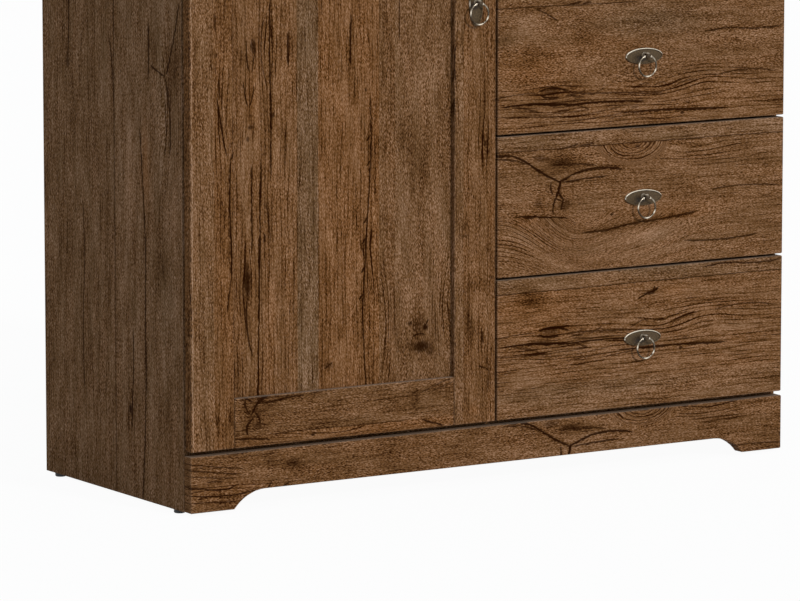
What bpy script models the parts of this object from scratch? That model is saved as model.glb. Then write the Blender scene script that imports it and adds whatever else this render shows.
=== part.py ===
"""Chest of drawers with a framed door on the left and four drawers on the right.

All lengths are metres. The front faces -Y, +X is to the right and +Z is up. The origin lies on
the floor, under the middle of the top board.
"""
import math

import bmesh
import bpy

# Clearances
FIT = 0.0003                     # between boards that butt, and a tongue in its groove
RUN = 0.0004                     # around a batten in the groove of a drawer side
RING_PLAY = 0.0004               # around a ring in the bore of its knuckle
HINGE_ROOM = 0.0006              # between the hinge arm and the cup around it

# Carcass boards
CARCASS_WIDTH = 0.940
CARCASS_DEPTH = 0.369
BOARD = 0.016
BACK_THICKNESS = 0.003
BACK_INSET = 0.003               # edge of the back sheet inside the outline of the carcass
TOP_THICKNESS = 0.022
TOP_SIDE_OVERHANG = 0.015
TOP_FRONT_OVERHANG = 0.015       # beyond the faces of the door and drawers
TOP_ROUNDING = 0.004
SHELF_HEIGHT = 0.372             # underside of the shelf above the bottom board
SHELF_SETBACK = 0.022
SHELF_PIN_RADIUS = 0.0025
SHELF_PIN_REACH = 0.009
SHELF_PIN_INSET = 0.060          # from the front and rear edges of the shelf

# Plinth and glides
PLINTH_HEIGHT = 0.074
PLINTH_THICKNESS = 0.0177
PLINTH_LAP = 0.006               # height of the bottom board's edge that the plinth covers
PLINTH_REAR_SETBACK = 0.012
FOOT_WIDTH = 0.066               # flat foot at each end of the arch
ARCH_RISE = 0.0232
ARCH_RUN = 0.047                 # width of the curved shoulder
ARCH_STEPS = 8
GLIDE_HEIGHT = 0.005
GLIDE_RADIUS = 0.0075
GLIDE_CHAMFER = 0.001
GLIDE_SETBACK = 0.025            # centre of a glide from the front or rear edge of a side
GLIDE_PEG_RADIUS = 0.002
GLIDE_PEG_LENGTH = 0.012

# Door and drawer fronts
FRONT_THICKNESS = 0.016
FRONT_STANDOFF = 0.0025          # between the carcass and the backs of the fronts
FRONT_GAP = 0.003                # between neighbouring fronts
FRONT_REVEAL = 0.001             # fronts inside the outer faces of the sides
FRONT_ROUNDING = 0.0015
FRONT_TOP_GAP = 0.003
FRONT_PLINTH_GAP = 0.006
DRAWER_COUNT = 4
DRAWER_FRONT_HEIGHT = 0.18825

# Door frame
STILE_WIDTH = 0.065
RAIL_WIDTH = 0.065
PANEL_RECESS = 0.008
PANEL_THICKNESS = 0.005
PANEL_GROOVE = 0.008

# Hinges
HINGE_END_DISTANCE = 0.100       # from the ends of the door to the middle of a hinge
CUP_RADIUS = 0.0175
CUP_WALL = 0.0008
CUP_EDGE = 0.0025                # wood between the cup and the edge of the door
CUP_EAR_REACH = 0.030
CUP_EAR_WIDTH = 0.022
CUP_FLANGE = 0.001
PIN_RADIUS = 0.001
PIN_INSET = 0.0065               # from the edge of the door to the pin
PIN_DEPTH = 0.0085               # from the back of the door to the pin
EYE_WALL = 0.0008
ARM_THICKNESS = 0.002
ARM_WIDTH = 0.008
ARM_BEND = 0.0025
ARM_LENGTH = 0.064               # behind the front edge of the side
ARM_JOG_START = 0.004
ARM_JOG_LENGTH = 0.008
MOUNT_THICKNESS = 0.0027
MOUNT_SETBACK = 0.020
MOUNT_LENGTH = 0.046
MOUNT_WIDTH = 0.014
WING_LENGTH = 0.046
WING_WIDTH = 0.012

# Drawer boxes
DRAWER_SIDE_THICKNESS = 0.016
DRAWER_BACK_THICKNESS = 0.012
DRAWER_BOTTOM_THICKNESS = 0.003
DRAWER_SIDE_HEIGHT = 0.125
DRAWER_RISE = 0.025              # box above the lower edge of its front
DRAWER_REAR_ROOM = 0.022         # free depth behind the box
DRAWER_BOTTOM_RISE = 0.010
DRAWER_BOTTOM_GROOVE = 0.006
BATTEN_THICKNESS = 0.009
BATTEN_HEIGHT = 0.016
BATTEN_RISE = 0.062              # middle of the batten above the lower edge of the box
BATTEN_GROOVE = 0.007
BATTEN_SETBACK = 0.004
BATTEN_REAR_ROOM = 0.030

# Ring pulls
PLATE_LENGTH = 0.0595
PLATE_WIDTH = 0.0213
PLATE_DROP = 0.001               # middle of the plate below the axis of the ring
PLATE_THICKNESS = 0.0014
RIM_HEIGHT = 0.0022
RIM_WIDTH = 0.0018
RIM_ROUNDING = 0.0005
PLATE_STEPS = 40
KNUCKLE_RADIUS = 0.0042
KNUCKLE_NECK_RADIUS = 0.0026
KNUCKLE_COLLAR_RADIUS = 0.0046
KNUCKLE_COLLAR_HEIGHT = 0.0012
RING_REACH = 0.0093              # axis of the ring in front of the face
RING_RADIUS = 0.01395
RING_WIRE_RADIUS = 0.00135
DOOR_PULL_HEIGHT = 0.560         # above the lower edge of the door

# Facets of round pieces
ROUND_STEPS = 24
SMALL_ROUND_STEPS = 16
RING_STEPS = 32
WIRE_STEPS = 8
BALL_STEPS = 6
BEVEL_STEPS = 2
BEND_STEPS = 3
CUT_MARGIN = 0.002               # cutters reach this far past the surface they open
WELD = 0.00001
SMOOTH_ANGLE = math.radians(35)
QUARTER = math.radians(90)

# Places along Y, from the middle of the top board
TOP_DEPTH = (TOP_FRONT_OVERHANG + FRONT_THICKNESS + FRONT_STANDOFF + CARCASS_DEPTH + FIT
             + BACK_THICKNESS)
FACE_Y = TOP_FRONT_OVERHANG - TOP_DEPTH / 2
FRONT_BACK_Y = FACE_Y + FRONT_THICKNESS
CARCASS_FRONT_Y = FRONT_BACK_Y + FRONT_STANDOFF
CARCASS_REAR_Y = CARCASS_FRONT_Y + CARCASS_DEPTH

# Places along Z, from the floor
PLINTH_TOP_Z = GLIDE_HEIGHT + PLINTH_HEIGHT
BOTTOM_Z = PLINTH_TOP_Z - PLINTH_LAP
BOTTOM_TOP_Z = BOTTOM_Z + BOARD
FRONTS_Z = PLINTH_TOP_Z + FRONT_PLINTH_GAP
DRAWER_PITCH = DRAWER_FRONT_HEIGHT + FRONT_GAP
DOOR_HEIGHT = DRAWER_COUNT * DRAWER_PITCH - FRONT_GAP
DOOR_TOP_Z = FRONTS_Z + DOOR_HEIGHT
TOP_Z = DOOR_TOP_Z + FRONT_TOP_GAP
SHELF_Z = BOTTOM_TOP_Z + SHELF_HEIGHT

# Places along X, from the middle of the chest
OUTER_X = CARCASS_WIDTH / 2
INNER_X = OUTER_X - BOARD
PARTITION_X = BOARD / 2
DOOR_LEFT_X = FRONT_REVEAL - OUTER_X
DOOR_RIGHT_X = -FRONT_GAP / 2
DRAWER_LEFT_X = FRONT_GAP / 2
DRAWER_RIGHT_X = OUTER_X - FRONT_REVEAL

# Hinge places that follow from the sizes above
CUP_INSET = CUP_EDGE + CUP_RADIUS
EYE_BORE = PIN_RADIUS + FIT
EYE_RADIUS = EYE_BORE + EYE_WALL
CUP_DEPTH = PIN_DEPTH + max(EYE_RADIUS, ARM_THICKNESS / 2) + HINGE_ROOM + CUP_WALL
PIN_X = DOOR_LEFT_X + PIN_INSET
PIN_Y = FRONT_BACK_Y - PIN_DEPTH
MOUNT_X = FIT - INNER_X
ARM_REAR_X = MOUNT_X + MOUNT_THICKNESS + ARM_THICKNESS / 2
NECK_X = max(PIN_X + PIN_DEPTH + FIT + CUP_FLANGE + HINGE_ROOM + ARM_THICKNESS / 2,
             ARM_REAR_X - MOUNT_THICKNESS / 2)
HINGE_HEIGHTS = {"upper": DOOR_TOP_Z - HINGE_END_DISTANCE, "lower": FRONTS_Z + HINGE_END_DISTANCE}

# Colour, roughness and metallic value of each finish
FINISHES = {
    "oak": ((0.141, 0.070, 0.029), 0.45, 0.0),
    "oak_inside": ((0.150, 0.078, 0.035), 0.50, 0.0),
    "hardboard": ((0.120, 0.072, 0.040), 0.70, 0.0),
    "batten_wood": ((0.480, 0.330, 0.190), 0.60, 0.0),
    "pewter": ((0.260, 0.230, 0.190), 0.35, 1.0),
    "nickel": ((0.620, 0.590, 0.540), 0.22, 1.0),
    "hinge_steel": ((0.560, 0.560, 0.550), 0.28, 1.0),
    "black_plastic": ((0.012, 0.012, 0.012), 0.50, 0.0),
}


def clear_scene():
    """Empty the file, and make one collection for the pieces and one for the cutters."""
    for old in list(bpy.data.objects):
        bpy.data.objects.remove(old, do_unlink=True)
    collections = []
    for name in ("chest_of_drawers", "cutters"):
        group = bpy.data.collections.new(name)
        bpy.context.scene.collection.children.link(group)
        collections.append(group)
    return collections


PIECES, CUTTERS = clear_scene()


def paint(piece, finish):
    """Give a piece its own material."""
    color, roughness, metallic = FINISHES[finish]
    material = bpy.data.materials.new(piece.name + "_" + finish)
    material.use_nodes = True
    shader = material.node_tree.nodes["Principled BSDF"]
    shader.inputs["Base Color"].default_value = (*color, 1.0)
    shader.inputs["Roughness"].default_value = roughness
    shader.inputs["Metallic"].default_value = metallic
    piece.data.materials.append(material)


def place(piece, where, finish=None, parent=None):
    """Put a piece, or with no finish a cutter, at a world position under its parent."""
    if finish:
        PIECES.objects.link(piece)
        paint(piece, finish)
    else:
        CUTTERS.objects.link(piece)
        piece.hide_render = True
        piece.display_type = "WIRE"
    base = parent.location if parent else (0.0, 0.0, 0.0)
    piece.parent = parent
    piece.location = [here - start for here, start in zip(where, base)]
    return piece


def axis_empty(name, where):
    """An empty on the axis of a joint, which carries the pieces that move about it."""
    empty = bpy.data.objects.new(name, None)
    PIECES.objects.link(empty)
    empty.location = where
    return empty


def mesh_object(name, shape):
    """An object from a finished bmesh."""
    mesh = bpy.data.meshes.new(name)
    shape.to_mesh(mesh)
    shape.free()
    return bpy.data.objects.new(name, mesh)


def box(name, low, high, finish=None, parent=None, rounding=0.0):
    """A board or block between two corners, with rounded edges if asked."""
    shape = bmesh.new()
    bmesh.ops.create_cube(shape, size=1.0)
    bmesh.ops.scale(shape, vec=[top - start for start, top in zip(low, high)], verts=shape.verts)
    block = mesh_object(name, shape)
    place(block, [(start + top) / 2 for start, top in zip(low, high)], finish, parent)
    if rounding:
        round_edges(block, rounding)
    return block


def cylinder(name, radius, length, where, turn=(0.0, 0.0, 0.0), parent=None, steps=SMALL_ROUND_STEPS):
    """A cylinder about its own Z, used as a cutter or joined to a piece."""
    shape = bmesh.new()
    bmesh.ops.create_cone(shape, cap_ends=True, segments=steps, radius1=radius, radius2=radius,
                          depth=length)
    rod = place(mesh_object(name, shape), where, parent=parent)
    rod.rotation_euler = turn
    return rod


def turned(name, profile, steps):
    """A profile of (radius, height) points, from the top down the outside, turned about Z."""
    mesh = bpy.data.meshes.new(name)
    edges = [(index, index + 1) for index in range(len(profile) - 1)]
    mesh.from_pydata([(radius, 0.0, height) for radius, height in profile], edges, [])
    piece = bpy.data.objects.new(name, mesh)
    screw = piece.modifiers.new("turn", "SCREW")
    screw.steps = steps
    screw.render_steps = steps
    screw.use_merge_vertices = True
    screw.merge_threshold = WELD
    return piece


def flat_curve(name, points, thickness, closed=True):
    """A flat outline in local XY with a thickness along local Z, or a strip along an open path."""
    curve = bpy.data.curves.new(name, "CURVE")
    curve.dimensions = "2D"
    curve.fill_mode = "BOTH" if closed else "NONE"
    curve.extrude = thickness / 2
    spline = curve.splines.new("POLY")
    spline.points.add(len(points) - 1)
    for target, (across, up) in zip(spline.points, points):
        target.co = (across, up, 0.0, 1.0)
    spline.use_cyclic_u = closed
    return bpy.data.objects.new(name, curve)


def as_mesh(curve_object):
    """The same shape as a closed mesh, so that it can be cut, joined or rounded."""
    bpy.context.scene.collection.objects.link(curve_object)
    bpy.context.view_layer.update()
    evaluated = curve_object.evaluated_get(bpy.context.evaluated_depsgraph_get())
    mesh = bpy.data.meshes.new_from_object(evaluated)
    name = curve_object.name
    bpy.data.objects.remove(curve_object, do_unlink=True)
    shape = bmesh.new()
    shape.from_mesh(mesh)
    bmesh.ops.remove_doubles(shape, verts=shape.verts, dist=WELD)
    bpy.data.meshes.remove(mesh)
    return mesh_object(name, shape)


def combine(piece, tool, operation="DIFFERENCE"):
    """Cut a piece with a tool, or join the tool to it."""
    boolean = piece.modifiers.new(tool.name, "BOOLEAN")
    boolean.operation = operation
    boolean.object = tool


def round_edges(piece, width, steps=BEVEL_STEPS):
    """Round every sharp edge of a piece."""
    bevel = piece.modifiers.new("rounding", "BEVEL")
    bevel.width = width
    bevel.segments = steps
    bevel.limit_method = "ANGLE"
    bevel.angle_limit = SMOOTH_ANGLE


def smooth(piece):
    """Shade the round faces of a mesh smooth, and keep its corners sharp."""
    piece.data.shade_smooth()
    piece.data.set_sharp_from_angle(angle=SMOOTH_ANGLE)


def ellipse(length, width, steps):
    """Points round an ellipse."""
    turns = [2 * math.pi * step / steps for step in range(steps)]
    return [(length / 2 * math.cos(turn), width / 2 * math.sin(turn)) for turn in turns]


def stadium(length, width):
    """A bar along X with round ends."""
    middle = (length - width) / 2
    points = []
    for side, start in ((1, -QUARTER), (-1, QUARTER)):
        for step in range(BEND_STEPS * 2 + 1):
            turn = start + math.pi * step / (BEND_STEPS * 2)
            points.append((side * middle + width / 2 * math.cos(turn), width / 2 * math.sin(turn)))
    return points


def bent_path(corners, radius):
    """A path through corners, with each bend drawn as a quadratic curve."""
    points = [corners[0]]
    for before, corner, after in zip(corners, corners[1:], corners[2:]):
        ends = []
        for other in (before, after):
            span = math.dist(corner, other)
            share = min(radius / span, 0.5)
            ends.append([at + (to - at) * share for at, to in zip(corner, other)])
        for step in range(BEND_STEPS + 1):
            t = step / BEND_STEPS
            points.append(tuple((1 - t) ** 2 * a + 2 * t * (1 - t) * b + t * t * c
                                for a, b, c in zip(ends[0], corner, ends[1])))
    points.append(corners[-1])
    return points


def side_board(name, side):
    """An outer side, with the holes for the pegs of its two glides."""
    low_x, high_x = sorted((side * OUTER_X, side * INNER_X))
    board = box(name, (low_x, CARCASS_FRONT_Y, GLIDE_HEIGHT),
                (high_x, CARCASS_REAR_Y, TOP_Z - FIT), "oak")
    for end, depth in (("front", CARCASS_FRONT_Y + GLIDE_SETBACK),
                       ("rear", CARCASS_REAR_Y - GLIDE_SETBACK)):
        low = GLIDE_HEIGHT - CUT_MARGIN
        high = GLIDE_HEIGHT + GLIDE_PEG_LENGTH + FIT
        hole = cylinder(name + "_peg_hole_" + end, GLIDE_PEG_RADIUS + FIT, high - low,
                        (side * (OUTER_X - BOARD / 2), depth, (low + high) / 2))
        combine(board, hole)
    return board


def shelf_pins(board, face_x, facing):
    """Two pins that stand out of a board, under the front and rear of the shelf."""
    front = CARCASS_FRONT_Y + SHELF_SETBACK + SHELF_PIN_INSET
    rear = CARCASS_REAR_Y - SHELF_PIN_INSET
    for end, depth in (("front", front), ("rear", rear)):
        middle = face_x + facing * (SHELF_PIN_REACH - CUT_MARGIN) / 2
        pin = cylinder(board.name + "_shelf_pin_" + end, SHELF_PIN_RADIUS,
                       SHELF_PIN_REACH + CUT_MARGIN, (middle, depth, SHELF_Z - FIT - SHELF_PIN_RADIUS),
                       (0.0, QUARTER, 0.0))
        combine(board, pin, "UNION")


def plinth_outline():
    """Front view of the plinth: two flat feet and an arch with curved shoulders."""
    radius = (ARCH_RUN ** 2 + ARCH_RISE ** 2) / (2 * ARCH_RISE)
    start = math.asin(ARCH_RUN / radius)
    shoulder = FOOT_WIDTH + ARCH_RUN
    curve = []
    for step in range(ARCH_STEPS + 1):
        turn = start * (1 - step / ARCH_STEPS)
        curve.append((shoulder - radius * math.sin(turn) - OUTER_X,
                      ARCH_RISE - radius * (1 - math.cos(turn))))
    arch = curve + [(-across, up) for across, up in reversed(curve)]
    return [(-OUTER_X, PLINTH_HEIGHT), (-OUTER_X, 0.0)] + arch + [(OUTER_X, 0.0),
                                                                (OUTER_X, PLINTH_HEIGHT)]


def glide(name, side, depth):
    """A round floor glide, with a peg up into the lower edge of a side."""
    profile = [
        (0.0, GLIDE_HEIGHT + GLIDE_PEG_LENGTH),
        (GLIDE_PEG_RADIUS, GLIDE_HEIGHT + GLIDE_PEG_LENGTH),
        (GLIDE_PEG_RADIUS, GLIDE_HEIGHT - FIT),
        (GLIDE_RADIUS, GLIDE_HEIGHT - FIT),
        (GLIDE_RADIUS, GLIDE_CHAMFER),
        (GLIDE_RADIUS - GLIDE_CHAMFER, 0.0),
        (0.0, 0.0),
    ]
    place(turned(name, profile, SMALL_ROUND_STEPS), (side * (OUTER_X - BOARD / 2), depth, 0.0),
          "black_plastic")


def carcass():
    """The boards that stand still, their glides and the shelf."""
    left = side_board("side_left", -1)
    side_board("side_right", 1)
    shelf_pins(left, -INNER_X, 1)
    partition = box("partition", (-PARTITION_X, CARCASS_FRONT_Y, BOTTOM_TOP_Z + FIT),
                    (PARTITION_X, CARCASS_REAR_Y, TOP_Z - FIT), "oak_inside")
    shelf_pins(partition, -PARTITION_X, -1)
    box("bottom_panel", (FIT - INNER_X, CARCASS_FRONT_Y, BOTTOM_Z),
        (INNER_X - FIT, CARCASS_REAR_Y, BOTTOM_TOP_Z), "oak_inside")
    box("top_panel", (-OUTER_X - TOP_SIDE_OVERHANG, -TOP_DEPTH / 2, TOP_Z),
        (OUTER_X + TOP_SIDE_OVERHANG, TOP_DEPTH / 2, TOP_Z + TOP_THICKNESS), "oak",
        rounding=TOP_ROUNDING)
    box("back_panel", (BACK_INSET - OUTER_X, CARCASS_REAR_Y + FIT, BOTTOM_Z + BACK_INSET),
        (OUTER_X - BACK_INSET, CARCASS_REAR_Y + FIT + BACK_THICKNESS, TOP_Z - BACK_INSET),
        "hardboard")
    box("plinth_rear", (FIT - INNER_X, CARCASS_REAR_Y - PLINTH_REAR_SETBACK - BOARD, GLIDE_HEIGHT),
        (INNER_X - FIT, CARCASS_REAR_Y - PLINTH_REAR_SETBACK, BOTTOM_Z - FIT), "oak_inside")
    box("shelf", (FIT - INNER_X, CARCASS_FRONT_Y + SHELF_SETBACK, SHELF_Z),
        (-PARTITION_X - FIT, CARCASS_REAR_Y - FIT, SHELF_Z + BOARD), "oak_inside")
    plinth = as_mesh(flat_curve("plinth_front", plinth_outline(), PLINTH_THICKNESS))
    place(plinth, (0.0, CARCASS_FRONT_Y - FIT - PLINTH_THICKNESS / 2, GLIDE_HEIGHT), "oak")
    plinth.rotation_euler = (QUARTER, 0.0, 0.0)
    round_edges(plinth, FRONT_ROUNDING)
    for side_name, side in (("left", -1), ("right", 1)):
        glide("glide_front_" + side_name, side, CARCASS_FRONT_Y + GLIDE_SETBACK)
        glide("glide_rear_" + side_name, side, CARCASS_REAR_Y - GLIDE_SETBACK)


def groove_span():
    """Y of the front and back walls of the grooves around the door panel."""
    return FACE_Y + PANEL_RECESS - FIT, FACE_Y + PANEL_RECESS + PANEL_THICKNESS + FIT


def stile(name, low_x, inner_side, axis):
    """An upright of the door frame, grooved along the edge that faces the panel."""
    upright = box(name, (low_x, FACE_Y, FRONTS_Z), (low_x + STILE_WIDTH, FRONT_BACK_Y, DOOR_TOP_Z),
                  "oak", axis, FRONT_ROUNDING)
    inner_x = low_x + STILE_WIDTH if inner_side > 0 else low_x
    low, high = sorted((inner_x - inner_side * PANEL_GROOVE, inner_x + inner_side * CUT_MARGIN))
    front, back = groove_span()
    combine(upright, box(name + "_groove", (low, front, FRONTS_Z - CUT_MARGIN),
                         (high, back, DOOR_TOP_Z + CUT_MARGIN), parent=axis))
    return upright


def rail(name, low_z, inner_side, axis):
    """A cross piece of the door frame, with a tongue at each end and a groove for the panel."""
    low_x = DOOR_LEFT_X + STILE_WIDTH + FIT
    high_x = DOOR_RIGHT_X - STILE_WIDTH - FIT
    bar = box(name, (low_x, FACE_Y, low_z), (high_x, FRONT_BACK_Y, low_z + RAIL_WIDTH), "oak", axis,
              FRONT_ROUNDING)
    reach = PANEL_GROOVE - 2 * FIT
    tongue_front = FACE_Y + PANEL_RECESS
    combine(bar, box(name + "_tongues", (low_x - reach, tongue_front, low_z + FRONT_ROUNDING),
                     (high_x + reach, tongue_front + PANEL_THICKNESS,
                      low_z + RAIL_WIDTH - FRONT_ROUNDING), parent=axis), "UNION")
    inner_z = low_z + RAIL_WIDTH if inner_side > 0 else low_z
    low, high = sorted((inner_z - inner_side * PANEL_GROOVE, inner_z + inner_side * CUT_MARGIN))
    front, back = groove_span()
    combine(bar, box(name + "_groove", (low_x - PANEL_GROOVE, front, low),
                     (high_x + PANEL_GROOVE, back, high), parent=axis))


def door(axis):
    """The framed door with its hinge cups."""
    hinge_stile = stile("door_stile_hinge", DOOR_LEFT_X, 1, axis)
    stile("door_stile_handle", DOOR_RIGHT_X - STILE_WIDTH, -1, axis)
    rail("door_rail_bottom", FRONTS_Z, 1, axis)
    rail("door_rail_top", DOOR_TOP_Z - RAIL_WIDTH, -1, axis)
    lap = PANEL_GROOVE - FIT
    panel_front = FACE_Y + PANEL_RECESS
    box("door_panel",
        (DOOR_LEFT_X + STILE_WIDTH - lap, panel_front, FRONTS_Z + RAIL_WIDTH - lap),
        (DOOR_RIGHT_X - STILE_WIDTH + lap, panel_front + PANEL_THICKNESS,
         DOOR_TOP_Z - RAIL_WIDTH + lap), "oak", axis)
    for name, height in HINGE_HEIGHTS.items():
        where = (DOOR_LEFT_X + CUP_INSET, FRONT_BACK_Y, height)
        length = CUP_DEPTH + FIT + CUT_MARGIN
        bore = cylinder("cup_bore_" + name, CUP_RADIUS + FIT, length,
                        (where[0], where[1] + CUT_MARGIN - length / 2, height),
                        (QUARTER, 0.0, 0.0), axis, ROUND_STEPS)
        combine(hinge_stile, bore)
        hinge_cup(name, where, axis)


def hinge_cup(name, where, axis):
    """A pressed cup let into the door, with a flange, two screw ears and the pivot pin."""
    face = FIT + CUP_FLANGE
    inner = CUP_RADIUS - CUP_WALL
    profile = [
        (0.0, CUP_WALL - CUP_DEPTH),
        (inner, CUP_WALL - CUP_DEPTH),
        (inner, face),
        (CUP_RADIUS, face),
        (CUP_RADIUS, -CUP_DEPTH),
        (0.0, -CUP_DEPTH),
    ]
    cup = place(turned("hinge_cup_" + name, profile, ROUND_STEPS), where, "hinge_steel", axis)
    cup.rotation_euler = (-QUARTER, 0.0, 0.0)
    ears = as_mesh(flat_curve("cup_ears_" + name, stadium(2 * CUP_EAR_REACH, CUP_EAR_WIDTH),
                              CUP_FLANGE))
    middle = FIT + CUP_FLANGE / 2
    place(ears, (where[0], where[1] + middle, where[2]), parent=axis)
    ears.rotation_euler = (QUARTER, QUARTER, 0.0)
    mouth = cylinder("cup_mouth_" + name, inner, CUP_DEPTH,
                     (where[0], where[1] + face + CUT_MARGIN - CUP_DEPTH / 2, where[2]),
                     (QUARTER, 0.0, 0.0), axis, ROUND_STEPS)
    combine(ears, mouth)
    combine(cup, ears, "UNION")
    pin = cylinder("cup_pin_" + name, PIN_RADIUS, 2 * CUP_RADIUS, (PIN_X, PIN_Y, where[2]), parent=axis)
    seat = cylinder("cup_pin_seat_" + name, CUP_RADIUS - CUP_WALL / 2, 2 * CUP_DEPTH, where,
                    (QUARTER, 0.0, 0.0), axis, ROUND_STEPS)
    combine(pin, seat, "INTERSECT")
    combine(cup, pin, "UNION")


def hinge_arm(name, height):
    """A cranked strip from the eye on the pin to the mounting plate on the side board."""
    neck = NECK_X - PIN_X
    rear = ARM_REAR_X - PIN_X
    edge = CARCASS_FRONT_Y - PIN_Y
    corners = [(0.0, 0.0), (neck, 0.0), (neck, edge + ARM_JOG_START),
               (rear, edge + ARM_JOG_START + ARM_JOG_LENGTH), (rear, edge + ARM_LENGTH)]
    arm = as_mesh(flat_curve("hinge_arm_" + name, bent_path(corners, ARM_BEND), ARM_WIDTH, False))
    place(arm, (PIN_X, PIN_Y, height), "hinge_steel")
    wall = arm.modifiers.new("wall", "SOLIDIFY")
    wall.thickness = ARM_THICKNESS
    wall.offset = 0.0
    wall.use_even_offset = True
    combine(arm, cylinder("arm_eye_" + name, EYE_RADIUS, ARM_WIDTH, (PIN_X, PIN_Y, height)), "UNION")
    combine(arm, cylinder("arm_bore_" + name, EYE_BORE, ARM_WIDTH + CUT_MARGIN,
                          (PIN_X, PIN_Y, height)))
    middle_y = CARCASS_FRONT_Y + MOUNT_SETBACK + MOUNT_LENGTH / 2
    plates = (
        ("mount", (MOUNT_LENGTH, MOUNT_WIDTH), MOUNT_THICKNESS + ARM_THICKNESS / 2, (QUARTER, 0.0, QUARTER)),
        ("wings", (WING_LENGTH, WING_WIDTH), MOUNT_THICKNESS, (0.0, -QUARTER, 0.0)),
    )
    for part, size, thickness, turn in plates:
        plate = as_mesh(flat_curve("arm_" + part + "_" + name, stadium(*size), thickness))
        place(plate, (MOUNT_X + thickness / 2, middle_y, height))
        plate.rotation_euler = turn
        combine(arm, plate, "UNION")


def knuckle_profile():
    """Half section of the knuckle: a ball on a neck with a collar, down into the plate."""
    start = math.asin(KNUCKLE_NECK_RADIUS / KNUCKLE_RADIUS)
    points = []
    for step in range(BALL_STEPS + 1):
        turn = (math.pi - start) * step / BALL_STEPS
        points.append((KNUCKLE_RADIUS * math.sin(turn), RING_REACH + KNUCKLE_RADIUS * math.cos(turn)))
    collar_top = PLATE_THICKNESS + KNUCKLE_COLLAR_HEIGHT
    base = PLATE_THICKNESS / 2
    return points + [(KNUCKLE_NECK_RADIUS, collar_top), (KNUCKLE_COLLAR_RADIUS, PLATE_THICKNESS),
                     (KNUCKLE_COLLAR_RADIUS, base), (0.0, base)]


def knuckle_bore():
    """Radius of the bore that the ring turns in: the ring's curve needs more room than its wire."""
    bow = RING_RADIUS - math.sqrt(RING_RADIUS ** 2 - KNUCKLE_RADIUS ** 2)
    return RING_WIRE_RADIUS + bow + RING_PLAY


def ring_pull(prefix, where, upright, axis):
    """A cast back plate with its knuckle, and the ring that hangs in it."""
    outward = (QUARTER, 0.0, 0.0)
    across, up = (PLATE_WIDTH, PLATE_LENGTH) if upright else (PLATE_LENGTH, PLATE_WIDTH)
    seat = (where[0], where[1] - FIT, where[2])
    rim_mid = (where[0], seat[1] - RIM_HEIGHT / 2, where[2] - PLATE_DROP)
    plate = as_mesh(flat_curve(prefix + "_plate", ellipse(across, up, PLATE_STEPS), RIM_HEIGHT))
    place(plate, rim_mid, "pewter", axis)
    plate.rotation_euler = outward
    round_edges(plate, RIM_ROUNDING, 1)
    field_outline = ellipse(across - 2 * RIM_WIDTH, up - 2 * RIM_WIDTH, PLATE_STEPS)
    field = as_mesh(flat_curve(prefix + "_field", field_outline, RIM_HEIGHT))
    place(field, (where[0], rim_mid[1] - PLATE_THICKNESS, rim_mid[2]), parent=axis)
    field.rotation_euler = outward
    combine(plate, field)
    knuckle = place(turned(prefix + "_knuckle", knuckle_profile(), SMALL_ROUND_STEPS), seat, parent=axis)
    knuckle.rotation_euler = outward
    combine(plate, knuckle, "UNION")
    ring_axis = (where[0], seat[1] - RING_REACH, where[2])
    combine(plate, cylinder(prefix + "_bore", knuckle_bore(), 4 * KNUCKLE_RADIUS, ring_axis,
                            (0.0, QUARTER, 0.0), axis))
    bpy.ops.mesh.primitive_torus_add(major_segments=RING_STEPS, minor_segments=WIRE_STEPS,
                                     major_radius=RING_RADIUS, minor_radius=RING_WIRE_RADIUS)
    torus = bpy.context.object
    shape = bmesh.new()
    shape.from_mesh(torus.data)
    bpy.data.objects.remove(torus, do_unlink=True)
    bmesh.ops.translate(shape, vec=(0.0, -RING_RADIUS, 0.0), verts=shape.verts)
    ring = place(mesh_object(prefix + "_ring", shape), ring_axis, "nickel", axis)
    ring.rotation_euler = outward
    smooth(ring)


def drawer_side_outline(facing):
    """Section of a drawer side: the batten's groove outside and the bottom's groove inside."""
    bottom_low = DRAWER_BOTTOM_RISE - FIT
    bottom_high = DRAWER_BOTTOM_RISE + DRAWER_BOTTOM_THICKNESS + FIT
    batten_low = BATTEN_RISE - BATTEN_HEIGHT / 2 - RUN
    batten_high = BATTEN_RISE + BATTEN_HEIGHT / 2 + RUN
    inside = DRAWER_SIDE_THICKNESS - DRAWER_BOTTOM_GROOVE
    points = [
        (0.0, 0.0), (DRAWER_SIDE_THICKNESS, 0.0), (DRAWER_SIDE_THICKNESS, bottom_low),
        (inside, bottom_low), (inside, bottom_high), (DRAWER_SIDE_THICKNESS, bottom_high),
        (DRAWER_SIDE_THICKNESS, DRAWER_SIDE_HEIGHT), (0.0, DRAWER_SIDE_HEIGHT),
        (0.0, batten_high), (BATTEN_GROOVE, batten_high), (BATTEN_GROOVE, batten_low),
        (0.0, batten_low),
    ]
    return [(facing * across, up) for across, up in points]


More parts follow.
